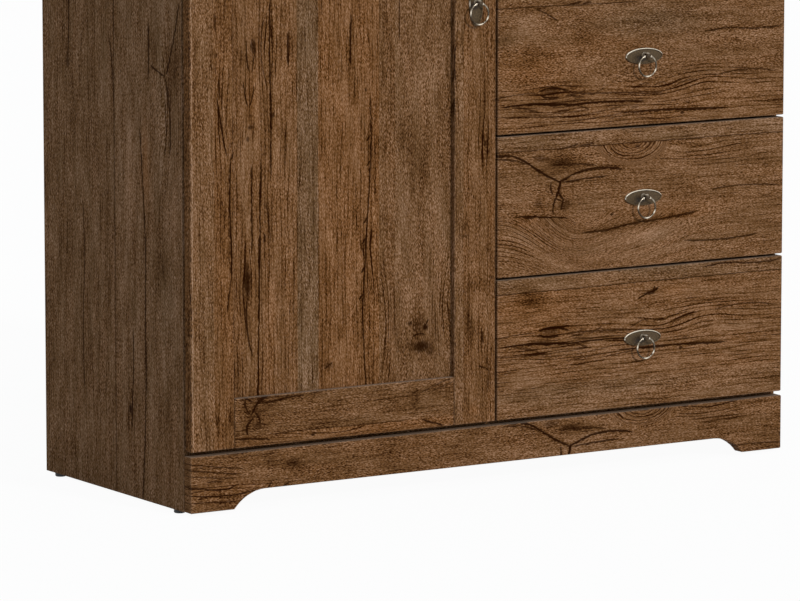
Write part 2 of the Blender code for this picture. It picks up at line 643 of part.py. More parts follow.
def drawer(number):
    """A drawer box on its two battens, with its front and ring pull."""
    name = "drawer_" + str(number)
    low_z = FRONTS_Z + (DRAWER_COUNT - number) * DRAWER_PITCH
    middle_x = (DRAWER_LEFT_X + DRAWER_RIGHT_X) / 2
    slide = axis_empty(name + "_slide", (middle_x, FRONT_BACK_Y, low_z))
    box_z = low_z + DRAWER_RISE
    start_y = FRONT_BACK_Y + FIT
    end_y = CARCASS_REAR_Y - DRAWER_REAR_ROOM
    side_gap = FIT + BATTEN_THICKNESS + RUN - BATTEN_GROOVE
    outer = {"left": PARTITION_X + side_gap, "right": INNER_X - side_gap}
    wall = {"left": PARTITION_X, "right": INNER_X}

    front = box(name + "_front", (DRAWER_LEFT_X, FACE_Y, low_z),
                (DRAWER_RIGHT_X, FRONT_BACK_Y, low_z + DRAWER_FRONT_HEIGHT), "oak", slide,
                FRONT_ROUNDING)
    inset = DRAWER_SIDE_THICKNESS - DRAWER_BOTTOM_GROOVE
    bottom_left = outer["left"] + inset + FIT
    bottom_right = outer["right"] - inset - FIT
    bottom_z = box_z + DRAWER_BOTTOM_RISE
    combine(front, box(name + "_front_groove",
                       (bottom_left - FIT, FRONT_BACK_Y - DRAWER_BOTTOM_GROOVE, bottom_z - FIT),
                       (bottom_right + FIT, FRONT_BACK_Y + CUT_MARGIN,
                        bottom_z + DRAWER_BOTTOM_THICKNESS + FIT), parent=slide))
    box(name + "_bottom", (bottom_left, FRONT_BACK_Y - DRAWER_BOTTOM_GROOVE + FIT, bottom_z),
        (bottom_right, end_y, bottom_z + DRAWER_BOTTOM_THICKNESS), "hardboard", slide)

    for side_name, facing in (("left", 1), ("right", -1)):
        side = flat_curve(name + "_side_" + side_name, drawer_side_outline(facing), end_y - start_y)
        place(side, (outer[side_name], (start_y + end_y) / 2, box_z), "oak_inside", slide)
        side.rotation_euler = (QUARTER, 0.0, 0.0)
        near = wall[side_name] + facing * FIT
        low_x, high_x = sorted((near, near + facing * BATTEN_THICKNESS))
        middle_z = box_z + BATTEN_RISE
        box("batten_" + str(number) + "_" + side_name,
            (low_x, CARCASS_FRONT_Y + BATTEN_SETBACK, middle_z - BATTEN_HEIGHT / 2),
            (high_x, CARCASS_REAR_Y - BATTEN_REAR_ROOM, middle_z + BATTEN_HEIGHT / 2), "batten_wood")
    box(name + "_back",
        (outer["left"] + DRAWER_SIDE_THICKNESS + FIT, end_y - DRAWER_BACK_THICKNESS,
         bottom_z + DRAWER_BOTTOM_THICKNESS + FIT),
        (outer["right"] - DRAWER_SIDE_THICKNESS - FIT, end_y, box_z + DRAWER_SIDE_HEIGHT),
        "oak_inside", slide)
    ring_pull(name, (middle_x, FACE_Y, low_z + DRAWER_FRONT_HEIGHT / 2), False, slide)


def build():
    """Carcass, door with its hinges and pull, and the column of drawers."""
    carcass()
    door_axis = axis_empty("door_swing", (PIN_X, PIN_Y, FRONTS_Z))
    door(door_axis)
    for name, height in HINGE_HEIGHTS.items():
        hinge_arm(name, height)
    ring_pull("door", (DOOR_RIGHT_X - STILE_WIDTH / 2, FACE_Y, FRONTS_Z + DOOR_PULL_HEIGHT), True,
              door_axis)
    for number in range(1, DRAWER_COUNT + 1):
        drawer(number)


build()
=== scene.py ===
from math import atan2, cos, pi, radians, sin
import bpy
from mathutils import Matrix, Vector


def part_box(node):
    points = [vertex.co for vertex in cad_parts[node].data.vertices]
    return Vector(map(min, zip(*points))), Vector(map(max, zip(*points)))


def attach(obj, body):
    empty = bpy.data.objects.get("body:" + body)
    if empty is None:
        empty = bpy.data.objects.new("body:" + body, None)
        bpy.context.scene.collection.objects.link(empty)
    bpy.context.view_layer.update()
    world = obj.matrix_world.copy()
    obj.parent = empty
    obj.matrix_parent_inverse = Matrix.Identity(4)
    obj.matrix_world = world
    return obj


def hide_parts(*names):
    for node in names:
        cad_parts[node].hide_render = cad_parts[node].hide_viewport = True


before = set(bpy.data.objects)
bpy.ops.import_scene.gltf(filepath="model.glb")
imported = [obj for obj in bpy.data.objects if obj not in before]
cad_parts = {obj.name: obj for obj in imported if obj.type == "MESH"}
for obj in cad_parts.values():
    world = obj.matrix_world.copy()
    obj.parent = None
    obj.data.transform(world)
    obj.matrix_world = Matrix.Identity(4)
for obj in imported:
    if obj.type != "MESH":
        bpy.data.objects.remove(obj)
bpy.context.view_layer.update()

from types import SimpleNamespace

import bmesh
import bpy
import numpy as np
from mathutils import Euler, Vector

millimetre = 0.001
fullTurn = 2 * pi
print("frame loaded,", len(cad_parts), "nodes")


# wiring: each call adds one shader node and feeds its inputs in order

class Wiring:
    def __init__(self, tree):
        self.tree = tree

    def feed(self, socket, value):
        if isinstance(value, bpy.types.NodeSocket):
            self.tree.links.new(value, socket)
        elif value is not None:
            socket.default_value = value

    def add(self, kind, *values, **settings):
        node = self.tree.nodes.new("ShaderNode" + kind)
        for name, setting in settings.items():
            setattr(node, name, setting)
        for socket, value in zip(node.inputs, values):
            self.feed(socket, value)
        return node

    def calc(self, operation, *values, clamp=False):
        return self.add("Math", *values, operation=operation, use_clamp=clamp).outputs[0]

    def plus(self, first, second):
        return self.calc("ADD", first, second)

    def minus(self, first, second):
        return self.calc("SUBTRACT", first, second)

    def times(self, first, second, clamp=False):
        return self.calc("MULTIPLY", first, second, clamp=clamp)

    def linear(self, value, slope, start, clamp=False):      # value * slope + start
        return self.calc("MULTIPLY_ADD", value, slope, start, clamp=clamp)

    def larger(self, first, second):
        return self.calc("MAXIMUM", first, second)

    def smaller(self, first, second):
        return self.calc("MINIMUM", first, second)

    def below(self, value, limit):       # 1 where the value is below the limit
        return self.calc("LESS_THAN", value, limit)

    def above(self, value, limit):
        return self.calc("GREATER_THAN", value, limit)

    def blend(self, factor, first, second):
        mix = self.add("Mix", data_type="RGBA")
        for index, value in ((0, factor), (6, first), (7, second)):      # its colour sockets come last
            self.feed(mix.inputs[index], value)
        return mix.outputs[2]

    def noise(self, vector, detail=0.0):
        return self.add("TexNoise", vector, None, 1.0, detail).outputs[0]    # scaled by its vector alone

    def point(self, x, y, z):
        return self.add("CombineXYZ", x, y, z).outputs[0]

    def split(self, vector):
        return self.add("SeparateXYZ", vector).outputs

    def ramp(self, factor, places, colours):
        ramp = self.add("ValToRGB", factor)
        band = ramp.color_ramp
        while len(band.elements) < len(places):
            band.elements.new(0.5)
        for element, place, colour in zip(band.elements, places, colours):
            element.position = place
            element.color = colour
        return ramp.outputs[0]

    def curve(self, factor, points):
        node = self.add("FloatCurve", 1.0, factor)
        mapping = node.mapping
        mapping.use_clip = False
        curve = mapping.curves[0]
        for knot, point in zip(curve.points, (points[0], points[-1])):
            knot.location = point
        for point in points[1:-1]:
            curve.points.new(*point)
        mapping.update()
        return node.outputs[0]

    def group(self, tree, *values):
        node = self.add("Group", node_tree=tree)
        for socket, value in zip(node.inputs, values):
            self.feed(socket, value)
        return node.outputs


def srgb(red, green, blue):      # a colour as it is read off a picture, to linear light
    levels = np.array((red, green, blue)) / 255.0
    linear = np.where(levels <= 0.04045, levels / 12.92, ((levels + 0.055) / 1.055) ** 2.4)
    return (*linear.tolist(), 1.0)


def newGroup(name, inputs, outputs):
    tree = bpy.data.node_groups.new(name, "ShaderNodeTree")
    for side, labels in (("INPUT", inputs), ("OUTPUT", outputs)):
        for label in labels:
            tree.interface.new_socket(label, in_out=side, socket_type="NodeSocketFloat")
    start = tree.nodes.new("NodeGroupInput").outputs
    finish = tree.nodes.new("NodeGroupOutput").inputs
    return tree, Wiring(tree), {label: start[label] for label in inputs}, finish


def newMaterial(name, specular=0.5, metallic=0.0):
    material = bpy.data.materials.new(name)
    material.use_nodes = True
    w = Wiring(material.node_tree)
    shader = w.tree.nodes["Principled BSDF"].inputs
    shader["Specular IOR Level"].default_value = specular
    shader["Metallic"].default_value = metallic
    return material, w


def coat(w, colour, roughness, height, strength, depth):     # depth of the bump in millimetres
    shader = w.tree.nodes["Principled BSDF"].inputs
    bump = w.add("Bump", strength, depth * millimetre)
    w.feed(bump.inputs["Height"], height)
    for name, value in (("Base Color", colour), ("Roughness", roughness), ("Normal", bump.outputs[0])):
        w.feed(shader[name], value)


# oak: one set of groups reads every board in millimetres, along the grain, across it and into it

oak = dict(
    warm=(srgb(40, 16, 2), srgb(121, 76, 36), srgb(177, 129, 92)),       # reddish wood, darkest to palest
    cool=(srgb(40, 16, 2), srgb(105, 78, 50), srgb(164, 135, 112)),      # greyish wood
    stops=(0.0, 0.5, 1.0),
    hue=0.42,                    # spread from reddish to greyish
    crack=srgb(32, 10, 0),
    # paler colour of worn arrises, and of the painted highlight on upper edges
    wornAndHighlit=srgb(142, 124, 108),
    wear=0.12,                   # of the arrises
    wearFall=0.45,               # per millimetre from them
    lip=0.6,                     # strength of the painted highlight on upper edges
    upward=0.7,                  # least rise of the normal on an upper edge that gets the painted highlight
    specular=0.01,
    roughness=(-0.16, 0.66),     # change with the tone, and where it is darkest
    bump=(0.3, 0.4),
)
fibre = dict(
    grit=(3.6, 1.1, 1.0, 9.1),           # noises: a cell's length and width in mm, detail, place in the noise
    line=(30.0, 1.05, 1.0, 17.1),
    cloud=(85.0, 15.0, 2.0, 31.9),
    hue=(110.0, 20.0, 1.0, 59.9),
    drift=(90.0, 8.0, 1.0, 23.3),
    lean=0.55,                           # of the third axis, which hides the noise's grid
    gritLevel=(1.95, -0.57),             # strength of the specks, and its change where the grain is streaky
    gritHue=1.2,                         # and where it is reddish
    lineLevel=(0.5, 0.38),               # strength of the lines, and its change where the grain is streaky
    skew=0.5,                            # how much darker than paler the lines run
    cloudLevel=0.5,
    lift=0.05,                           # of the tone where the grain is streaky
    ringPitch=6.0,                       # growth lines, mm
    ringDrift=(8.0, 2.5),                # how far they stray, by their own noise and by the hue
    ringCrest=(2.4, -1.2),               # keeps only the crests of the sine
    ringGaps=(-2.2, -1.0, 0.65),         # where they break off: by the clouds, by the lines, everywhere
    ringKept=0.6,                        # least that is kept where a figure bends the grain
    ring=0.5,                            # strength where a figure bends the grain
    vein=0.42,                           # strength where the grain is streaky
)
crack = dict(
    least=0.4, width=1.05,       # half width of the finest, mm, and what a drawn half width adds
    edge=1.1,                    # sharpness of its sides, per mm
    tip=14.0, tipShare=0.2,      # longest drawn-out end, mm, and the most of its length
    tipFade=2.0,
    halo=0.1, haloFall=0.16,     # darkening beside it, and its fall per mm
    margin=30,                   # how near a board it is still drawn, mm
)


def bellGroup():         # exp(-((u - cu)/ru)^2 - ((v - cv)/rv)^2), with (v - cv)/rv and the radius beside it
    labels = ("along", "across", "atAlong", "atAcross", "reachAlong", "reachAcross")
    tree, w, given, out = newGroup("grainBell", labels, ("bell", "offset", "radius"))
    u = w.calc("DIVIDE", w.minus(given["along"], given["atAlong"]), given["reachAlong"])
    v = w.calc("DIVIDE", w.minus(given["across"], given["atAcross"]), given["reachAcross"])
    square = w.linear(u, u, w.times(v, v))
    w.feed(out["bell"], w.calc("EXPONENT", w.times(square, -1.0)))
    w.feed(out["offset"], v)
    w.feed(out["radius"], w.calc("SQRT", square))
    return tree


def crackGroup():        # a ragged band about a path, drawn out to points at its two ends, and a soft halo
    labels = ("place", "path", "way", "start", "stop", "half", "lean", "ragged", "tip")
    tree, w, given, out = newGroup("grainCrack", labels, ("mask", "halo"))
    gap = w.times(w.calc("ABSOLUTE", w.minus(given["place"], given["path"])), given["lean"])
    nearEnd = w.smaller(w.minus(given["way"], given["start"]), w.minus(given["stop"], given["way"]))
    taper = w.calc("DIVIDE", nearEnd, given["tip"], clamp=True)
    half = w.times(w.times(given["half"], taper), given["ragged"])
    side = w.linear(w.minus(half, gap), crack["edge"], 0.5, clamp=True)
    w.feed(out["mask"], w.times(side, w.times(taper, crack["tipFade"], clamp=True)))
    w.feed(out["halo"], w.times(taper, w.linear(gap, -crack["haloFall"], 1.0, clamp=True)))
    return tree


def edgeGroup():         # 1 where two faces of the board meet: the two least of its three edge distances
    axes = ("along", "across", "deep")
    spans = ("lowAlong", "highAlong", "lowAcross", "highAcross", "lowDeep", "highDeep")
    tree, w, given, out = newGroup("boardEdge", axes + spans, ("edge",))
    nearest = []
    for axis, low, high in zip(axes, spans[::2], spans[1::2]):
        nearest.append(w.smaller(w.minus(given[axis], given[low]), w.minus(given[high], given[axis])))
    first, second, third = nearest
    total = w.plus(w.plus(first, second), third)
    largest = w.larger(w.larger(first, second), third)
    w.feed(out["edge"], w.linear(w.minus(total, largest), -oak["wearFall"], 1.0, clamp=True))
    return tree


def fibreGroup():        # noise stretched along the grain at several sizes, and growth lines from a sine
    labels = ("along", "flow", "deep", "seed", "streak", "curl")
    tree, w, given, out = newGroup("oakFibres", labels, ("tone", "hue"))

    def stretched(name):
        length, width, detail, offset = fibre[name]
        u = w.linear(given["along"], 1 / length, w.plus(given["seed"], offset))
        v = w.times(given["flow"], 1 / width)
        lean = w.times(w.plus(u, v), fibre["lean"])
        place = w.point(u, v, w.linear(given["deep"], 1 / width, lean))
        return w.minus(w.noise(place, detail), 0.5)

    def streaky(name):
        level, change = fibre[name]
        return w.linear(given["streak"], change, level)

    grit, line, cloud, hue, drift = [stretched(name) for name in ("grit", "line", "cloud", "hue", "drift")]
    tone = w.times(w.linear(w.calc("ABSOLUTE", line), -fibre["skew"], line), streaky("lineLevel"))
    tone = w.linear(grit, w.times(streaky("gritLevel"), w.linear(hue, fibre["gritHue"], 1.0)), tone)
    tone = w.linear(cloud, fibre["cloudLevel"], tone)
    tone = w.linear(given["streak"], fibre["lift"], tone)
    byNoise, byHue = fibre["ringDrift"]
    drift = w.linear(drift, byNoise, w.times(hue, byHue))
    wave = w.calc("SINE", w.linear(given["flow"], fullTurn / fibre["ringPitch"], drift))
    crest = w.linear(wave, *fibre["ringCrest"], clamp=True)
    byCloud, byLine, everywhere = fibre["ringGaps"]
    broken = w.linear(cloud, byCloud, w.linear(line, byLine, everywhere), clamp=True)
    kept = w.larger(broken, w.times(given["curl"], fibre["ringKept"]))
    strength = w.linear(given["curl"], -fibre["ring"], w.times(given["streak"], -fibre["vein"]))
    w.feed(out["tone"], w.linear(w.times(crest, kept), strength, tone))
    w.feed(out["hue"], hue)
    return tree


grainBell, grainCrack, boardEdge, oakFibres = bellGroup(), crackGroup(), edgeGroup(), fibreGroup()
print("oak groups made")

# grain figures in millimetres, each place as (along the grain, across it) from the figure's own corner
# cracks: half width, strength, points
# knots: place, reach, strength
# patches: place, reach, tone, redness
# swirls: place, reach, lift of the grain, its spread around the middle, and, if it is cut off,
# the highest place across and the strength of its growth lines
# eyes: place, reach, number of growth rings, highest place across
# planks: from, to, tone, redness, streak

figures = {}

figures["eyeKnot"] = dict(
    cracks=[
        (0.35, 0.75, [(-40, 167), (60, 167.5), (120, 167), (230, 167)]),
        (0.8, 0.8, [(100, 166), (118, 168.5), (135, 172)]),
        (0.8, 0.8, [(133, 168), (142, 169), (150, 169.5)]),
        (0.7, 0.75, [(55, 167), (75, 158), (98, 146)]),
        (0.5, 0.7, [(-8, 48), (35, 52), (66, 53)]),
        (1.0, 0.95, [(60, 52), (72, 56), (90, 58), (104, 55), (119, 51)]),
        (1.0, 0.9, [(63, 52), (72, 47), (86, 45), (100, 46)]),
        (0.6, 0.7, [(112, 51), (122, 45), (140, 44)]),
        (0.6, 0.7, [(105, 47), (126, 48), (142, 54)]),
        (0.6, 0.65, [(146, 46), (158, 48), (170, 55)]),
        (0.5, 0.65, [(118, 41), (140, 39), (156, 37)]),
        (0.4, 0.6, [(-8, 24), (60, 22), (110, 24), (150, 26)]),
        (0.4, 0.6, [(60, 20), (130, 19), (170, 23), (205, 28)]),
        (0.4, 0.6, [(110, 11), (150, 14), (205, 18)]),
        (0.5, 0.6, [(170, 12), (190, 13), (230, 17)]),
        (0.6, 0.75, [(108, 49), (160, 47), (210, 45), (255, 42), (270, 44)]),
        (0.8, 0.95, [(0, 36), (50, 38), (80, 36.5), (110, 34), (150, 35), (200, 34), (240, 32)]),
        (1.5, 0.95, [(36, 37.5), (60, 38), (85, 36), (120, 34)]),
        (0.9, 0.65, [(20, 36), (45, 32), (70, 25)]),
        (0.6, 0.75, [(125, 33), (135, 30), (147, 26)]),
        (0.7, 0.9, [(190, 19), (220, 18.3), (260, 18.5), (320, 17), (380, 15)]),
        (1.2, 0.9, [(215, 18.4), (260, 18.5), (320, 17), (372, 15)]),
        (0.5, 0.65, [(213, 46), (228, 54), (240, 56), (248, 49)]),
        (0.5, 0.65, [(249, 51), (262, 56), (270, 55), (274, 49)]),
        (0.5, 0.65, [(281, 44), (290, 52), (305, 56), (324, 57)]),
        (0.8, 0.8, [(330, 120), (370, 124), (420, 121), (467, 123)]),
        (0.6, 0.7, [(350, 60), (400, 66), (455, 61)]),
    ],
    knots=[
        ((85, 53), (17, 6), 0.6), ((91, 57), (7, 2.5), 0.95), ((298, 13), (3.5, 2.5), 0.85),
        ((305, 27), (5, 2), 0.5), ((220, 25), (9, 2.5), 0.45),
    ],
    patches=[
        ((50, 105), (20, 16), -0.13, 0.02),
        ((138, 125), (18, 14), -0.07, 0.02),
        ((255, 140), (80, 22), -0.08, -0.2),
        ((15, 125), (22, 10), -0.07, -0.08),
        ((180, 112), (70, 16), 0.02, 0.08),
        ((40, 145), (20, 12), 0.09, -0.02),
        ((50, 85), (70, 26), -0.01, 0.14),
        ((88, 53), (40, 13), -0.07, 0.08),
    ],
    swirls=[
        ((88, 53), (36, 15), 0, 9), ((262, 46), (46, 14), 8, 0), ((120, 16), (90, 12), 3, 0),
        ((340, 60), (50, 20), -7, 0),
    ],
    planks=[(-20, 61, 0.01, 0.04, 0.75)],
)

figures["forkedCrack"] = dict(
    cracks=[
        (0.35, 0.75, [(-90, 168), (95, 167.5), (190, 168), (480, 168)]),
        (0.8, 0.8, [(92, 166.5), (115, 169), (132, 173)]),
        (0.8, 0.8, [(128, 169), (142, 170), (156, 171)]),
        (1.25, 0.9, [(-20, 166), (0, 163), (20, 162), (40, 155), (55, 146), (70, 137), (85, 129),
                     (97, 124), (104, 122)]),
        (1.2, 0.9, [(90, 122), (98, 123.5), (107, 126), (120, 131), (140, 136), (175, 137), (205, 132.5)]),
        (0.7, 0.8, [(-10, 159), (25, 156), (52, 147)]),
        (0.8, 0.85, [(98, 121.5), (150, 125), (182, 126)]),
        (1.4, 0.95, [(100.5, 127), (99.5, 120), (97, 111), (92, 99)]),
        (1.1, 0.9, [(95, 111), (102, 102), (106, 97)]),
        (1.0, 0.9, [(105.5, 101), (103, 93), (102, 84)]),
        (1.2, 0.9, [(94, 105), (89, 93), (87.5, 87), (89.5, 78)]),
        (0.8, 0.85, [(89, 100), (97, 99), (104, 94)]),
        (0.9, 0.85, [(84.5, 126), (85, 114), (89, 104)]),
        (0.8, 0.75, [(78, 146.5), (110, 145.5), (140, 144), (162, 141)]),
        (0.8, 0.9, [(22, 80), (50, 79), (85, 76), (118, 73)]),
        (1.3, 0.9, [(34, 79.8), (50, 79), (66, 77.8)]),
        (1.1, 0.8, [(132, 52), (175, 53), (210, 58), (270, 62), (330, 69)]),
        (0.6, 0.7, [(340, 96), (390, 99), (467, 95)]),
        (0.8, 0.8, [(300, 30), (360, 27), (430, 31)]),
    ],
    knots=[
        ((225, 163), (5, 3), 0.75), ((183, 73), (3, 2.5), 0.85), ((65, 95), (8, 6), 0.45),
        ((107, 92), (10, 8), 0.5), ((45, 75), (9, 4), 0.35), ((68, 156), (13, 5), 0.5),
        ((100, 149), (17, 5), 0.55),
    ],
    patches=[
        ((100, 148), (34, 11), -0.2, 0.02),
        ((205, 55), (80, 7), -0.1, 0.03),
        ((270, 75), (70, 9), 0.0, 0.12),
        ((285, 64), (60, 4), -0.16, 0.1),
        ((260, 40), (80, 26), 0.1, -0.03),
        ((45, 75), (16, 7), -0.02, 0.14),
        ((215, 168), (40, 20), -0.08, 0.06),
        ((68, 94), (14, 13), -0.1, 0.02),
        ((107, 95), (14, 14), -0.09, 0.02),
    ],
    swirls=[
        ((330, 150), (60, 16), 8, 0, 168, 1), ((130, 84), (68, 90), 90, 0, 77, 0),
        ((230, 84), (68, 90), 45, 0, 77, 0), ((48, 48), (52, 26), 0, 0, 77, 1.15),
    ],
    eyes=[((217, 171), (60, 33), 8, 168)],
    planks=[(168, 260, 0.05, -0.16, 0.25), (-120, 168, 0.02, 0.0, 0.0)],
)

figures["drawerFour"] = dict(
    cracks=[
        (0.35, 0.75, [(-60, 169), (120, 168.6), (240, 169.4), (540, 169)]),
        (1.0, 0.95, [(226, 147), (236, 150), (246, 156)]),
        (1.2, 0.95, [(240, 154), (250, 155), (262, 161)]),
        (0.9, 0.9, [(247, 151), (252, 156), (254, 163)]),
        (0.8, 0.85, [(234, 154), (243, 152), (256, 153)]),
    ],
    knots=[((247, 155), (9, 3.5), 0.7)],
    patches=[((55, 155), (20, 9), -0.14, 0.02), ((285, 154), (24, 9), -0.02, 0.14),
             ((160, 30), (160, 15), 0.0, -0.08)],
    swirls=[],
    planks=[(169, 260, 0.04, -0.14, 0.0), (123, 169, 0.03, 0.04, 0.2), (41, 123, 0.02, 0.0, 0.0),
            (-20, 41, 0.03, -0.04, 0.4)],
)

figures["doorPanel"] = dict(
    cracks=[
        (0.6, 0.95, [(-10, 40), (85, 41), (160, 42.5), (215, 43.5), (268, 44)]),
        (1.2, 0.95, [(155, 42.3), (185, 43), (220, 43.6)]),
        (0.9, 0.95, [(82, 41), (115, 41.8), (152, 42.4)]),
        (0.9, 0.95, [(-10, 40), (20, 40.2), (42, 40.6)]),
        (0.8, 0.85, [(180, 31), (240, 31.5), (304, 31)]),
        (0.8, 0.85, [(46, 34), (80, 25), (135, 24)]),
        (0.7, 0.8, [(197, 49), (205, 51), (213, 49)]),
        (0.6, 0.7, [(196, 60), (228, 56), (258, 52)]),
        (0.6, 0.95, [(-10, 205), (40, 202), (80, 200), (110, 200), (150, 203), (195, 205), (220, 207),
                     (260, 210), (300, 212), (384, 212)]),
        (0.6, 0.75, [(165, 203.5), (180, 199), (197, 195)]),
        (0.9, 0.85, [(26, 140), (30, 147), (34, 154)]),
        (0.8, 0.85, [(57, 276), (60.5, 286), (59, 298)]),
        (1.0, 0.9, [(66, 293), (72, 297), (80, 302)]),
        (0.6, 0.95, [(276, 60), (340, 60.5), (400, 60), (460, 59), (520, 60)]),
        (0.9, 0.95, [(335, 60.4), (370, 60.6), (405, 60)]),
        (0.6, 0.9, [(418, 30), (432, 26), (466, 24)]),
        (0.6, 0.9, [(418, 30), (434, 34.5), (468, 36)]),
        (0.6, 0.9, [(374, 27), (392, 22), (412, 19)]),
        (0.6, 0.9, [(374, 27), (390, 33), (406, 35)]),
        (0.8, 0.95, [(250, 44.2), (275, 45), (308, 45.5)]),
        (0.5, 0.65, [(392, 58), (430, 48), (460, 46), (498, 53)]),
        (1.1, 0.9, [(422, 87), (448, 86.4), (474, 87)]),
        (1.1, 0.9, [(416, 182), (450, 181.4), (494, 182.6)]),
        (0.6, 0.75, [(446, 257), (478, 256.4), (510, 257)]),
        (0.8, 0.8, [(540, 120), (590, 123), (640, 121)]),
        (0.7, 0.8, [(560, 290), (600, 287), (640, 289)]),
    ] + [(0.9, 0.9, [(hook - 9, path - 6), (hook, path)])     # short hooks that run into the long crack
         for hook, path in ((122, 200.6), (157, 203.2), (195, 205), (222, 207.2), (297, 211.8), (330, 212))],
    knots=[
        ((150, 24), (26, 7), 0.85), ((69, 297), (5, 5), 0.95), ((72, 286), (12, 11), 0.3),
        ((76, 274), (3.5, 4), 0.8), ((364, 64), (5, 3), 0.8), ((455, 33), (9, 3), 0.8),
        ((389, 205), (3, 2.5), 0.8), ((30, 147), (5, 8), 0.45), ((350, 30), (3, 5), 0.7),
        ((335, 26), (4, 3), 0.7), ((44, 291), (9, 16), 0.85), ((36, 304), (7, 8), 0.5),
    ],
    patches=[
        ((150, 26), (46, 14), -0.08, 0.05),
        ((44, 290), (14, 22), -0.12, 0.02),
        ((74, 284), (16, 14), -0.1, 0.02),
        ((278, 285), (30, 16), -0.14, 0.0),
        ((330, 262), (28, 16), -0.12, 0.0),
        ((350, 332), (40, 14), -0.14, 0.0),
        ((385, 31), (40, 8), 0.0, 0.16),
        ((80, 60), (90, 8), 0.05, 0.06),
    ],
    swirls=[
        ((152, 25), (42, 13), 0, 8), ((90, 325), (60, 18), 12, 0),
        ((75, 236), (70, 14), -8, 0), ((455, 52), (46, 10), 6, 0), ((180, 208), (60, 8), 4, 0),
    ],
    planks=[
        (-20, 100, -0.01, 0.04, 0.85), (100, 132, -0.01, -0.34, 0.55), (132, 225, -0.01, 0.2, 0.75),
        (225, 250, -0.04, -0.05, 0.35), (250, 360, 0.01, -0.1, 0.12),
    ],
)

figures["hingeStile"] = dict(
    cracks=[
        (0.6, 0.95, [(174, 53.5), (200, 57), (230, 61), (260, 61), (300, 59), (340, 59), (382, 60.5)]),
        (0.8, 0.95, [(220, 60.4), (260, 61), (300, 59), (340, 59), (378, 60.2)]),
        (0.9, 0.9, [(375, 60), (386, 66)]),
        (0.8, 0.95, [(376, 56.5), (400, 50), (430, 45), (459, 40)]),
        (0.7, 0.8, [(452, 45), (484, 43)]),
        (0.8, 0.7, [(542, 38), (568, 37)]),
        (0.6, 0.6, [(31, 37.5), (48, 37.5)]),
        (0.6, 0.7, [(620, 20), (660, 22), (720, 19)]),
    ],
    knots=[((512, 39), (4, 3), 0.5), ((395, 60), (5, 3), 0.4)],
    patches=[
        ((40, 60), (12, 8), -0.14, 0.0), ((200, 52), (120, 12), -0.04, 0.08),
        ((140, 20), (90, 16), 0.0, -0.04),
        ((380, 2.8), (3000, 0.8), 0.3, -0.1),        # painted highlight along the arris
        ((380, -1.5), (3000, 1.8), -0.24, 0.2),      # dark edge
    ],
    swirls=[((430, 46), (60, 12), 6, 0)],
    planks=[(-10, 35, 0.0, -0.08, 0.0), (35, 80, -0.05, 0.08, 0.15)],
)

figures["pullStile"] = dict(
    cracks=[
        (0.7, 0.8, [(77, 36), (74, 46), (68, 57)]),
        (0.5, 0.55, [(36, 52), (62, 54), (96, 51)]),
        (0.6, 0.7, [(520, 30), (560, 33), (610, 31)]),
    ],
    knots=[
        ((113, 45), (8, 2.5), 0.85), ((382, 45), (5, 3), 0.9), ((373, 48), (4, 3), 0.8),
        ((362, 52), (4, 3), 0.8), ((252, 16), (2.5, 6), 0.55), ((194, 59), (3, 5), 0.5),
    ],
    patches=[
        ((185, 30), (10, 15), -0.14, 0.0), ((130, 24), (20, 9), -0.13, -0.03),
        ((265, 14), (10, 10), -0.12, 0.0), ((510, 5), (14, 8), -0.16, 0.04),
        ((382, 44), (10, 5), -0.08, 0.08), ((280, 57), (26, 5), 0.0, 0.14), ((18, 30), (6, 8), 0.0, 0.14),
    ],
    swirls=[((115, 45), (26, 8), 0, 5), ((376, 48), (30, 9), 0, 5), ((485, -6), (60, 16), 9, 0)],
    planks=[(-10, 14, 0.0, -0.1, 0.0), (14, 80, -0.03, 0.05, 0.15)],
)

figures["bottomRail"] = dict(
    cracks=[
        (1.6, 0.92, [(22, 35), (29, 49), (36, 58), (52, 65)]),
        (0.8, 0.85, [(32, 57), (45, 56), (60, 57.5), (80, 60), (108, 61)]),
        (0.9, 0.85, [(13, 66), (28, 58)]),
        (1.0, 0.85, [(16, 64), (16.5, 52), (26, 40)]),
        (0.9, 0.8, [(28, 47), (36, 38), (37.5, 27)]),
        (1.3, 0.9, [(30, 40), (22, 32), (18, 26), (20, 15)]),
        (0.8, 0.85, [(-6, 11.5), (30, 10), (58, 6.5)]),
        (0.4, 0.55, [(50, 13), (120, 15), (200, 14), (270, 14)]),
        (0.5, 0.6, [(278, 46), (300, 54), (318, 60), (340, 64.5)]),
        (0.5, 0.6, [(298, 46), (318, 54), (340, 60)]),
        (0.8, 0.9, [(283, 13.5), (300, 8), (324, 1)]),
    ],
    knots=[((118, 8), (4, 2), 0.9), ((34, 28), (6, 5), 0.45)],
    patches=[((277, 42), (6, 15), -0.16, 0.0), ((240, 7), (70, 7), -0.02, 0.1),
             ((28, 40), (22, 22), -0.1, 0.0)],
    swirls=[((150, 8), (46, 7), 8, 0)],
    planks=[(-10, 14, 0.0, 0.08, 0.1), (14, 80, -0.05, -0.04, 0.0)],
)

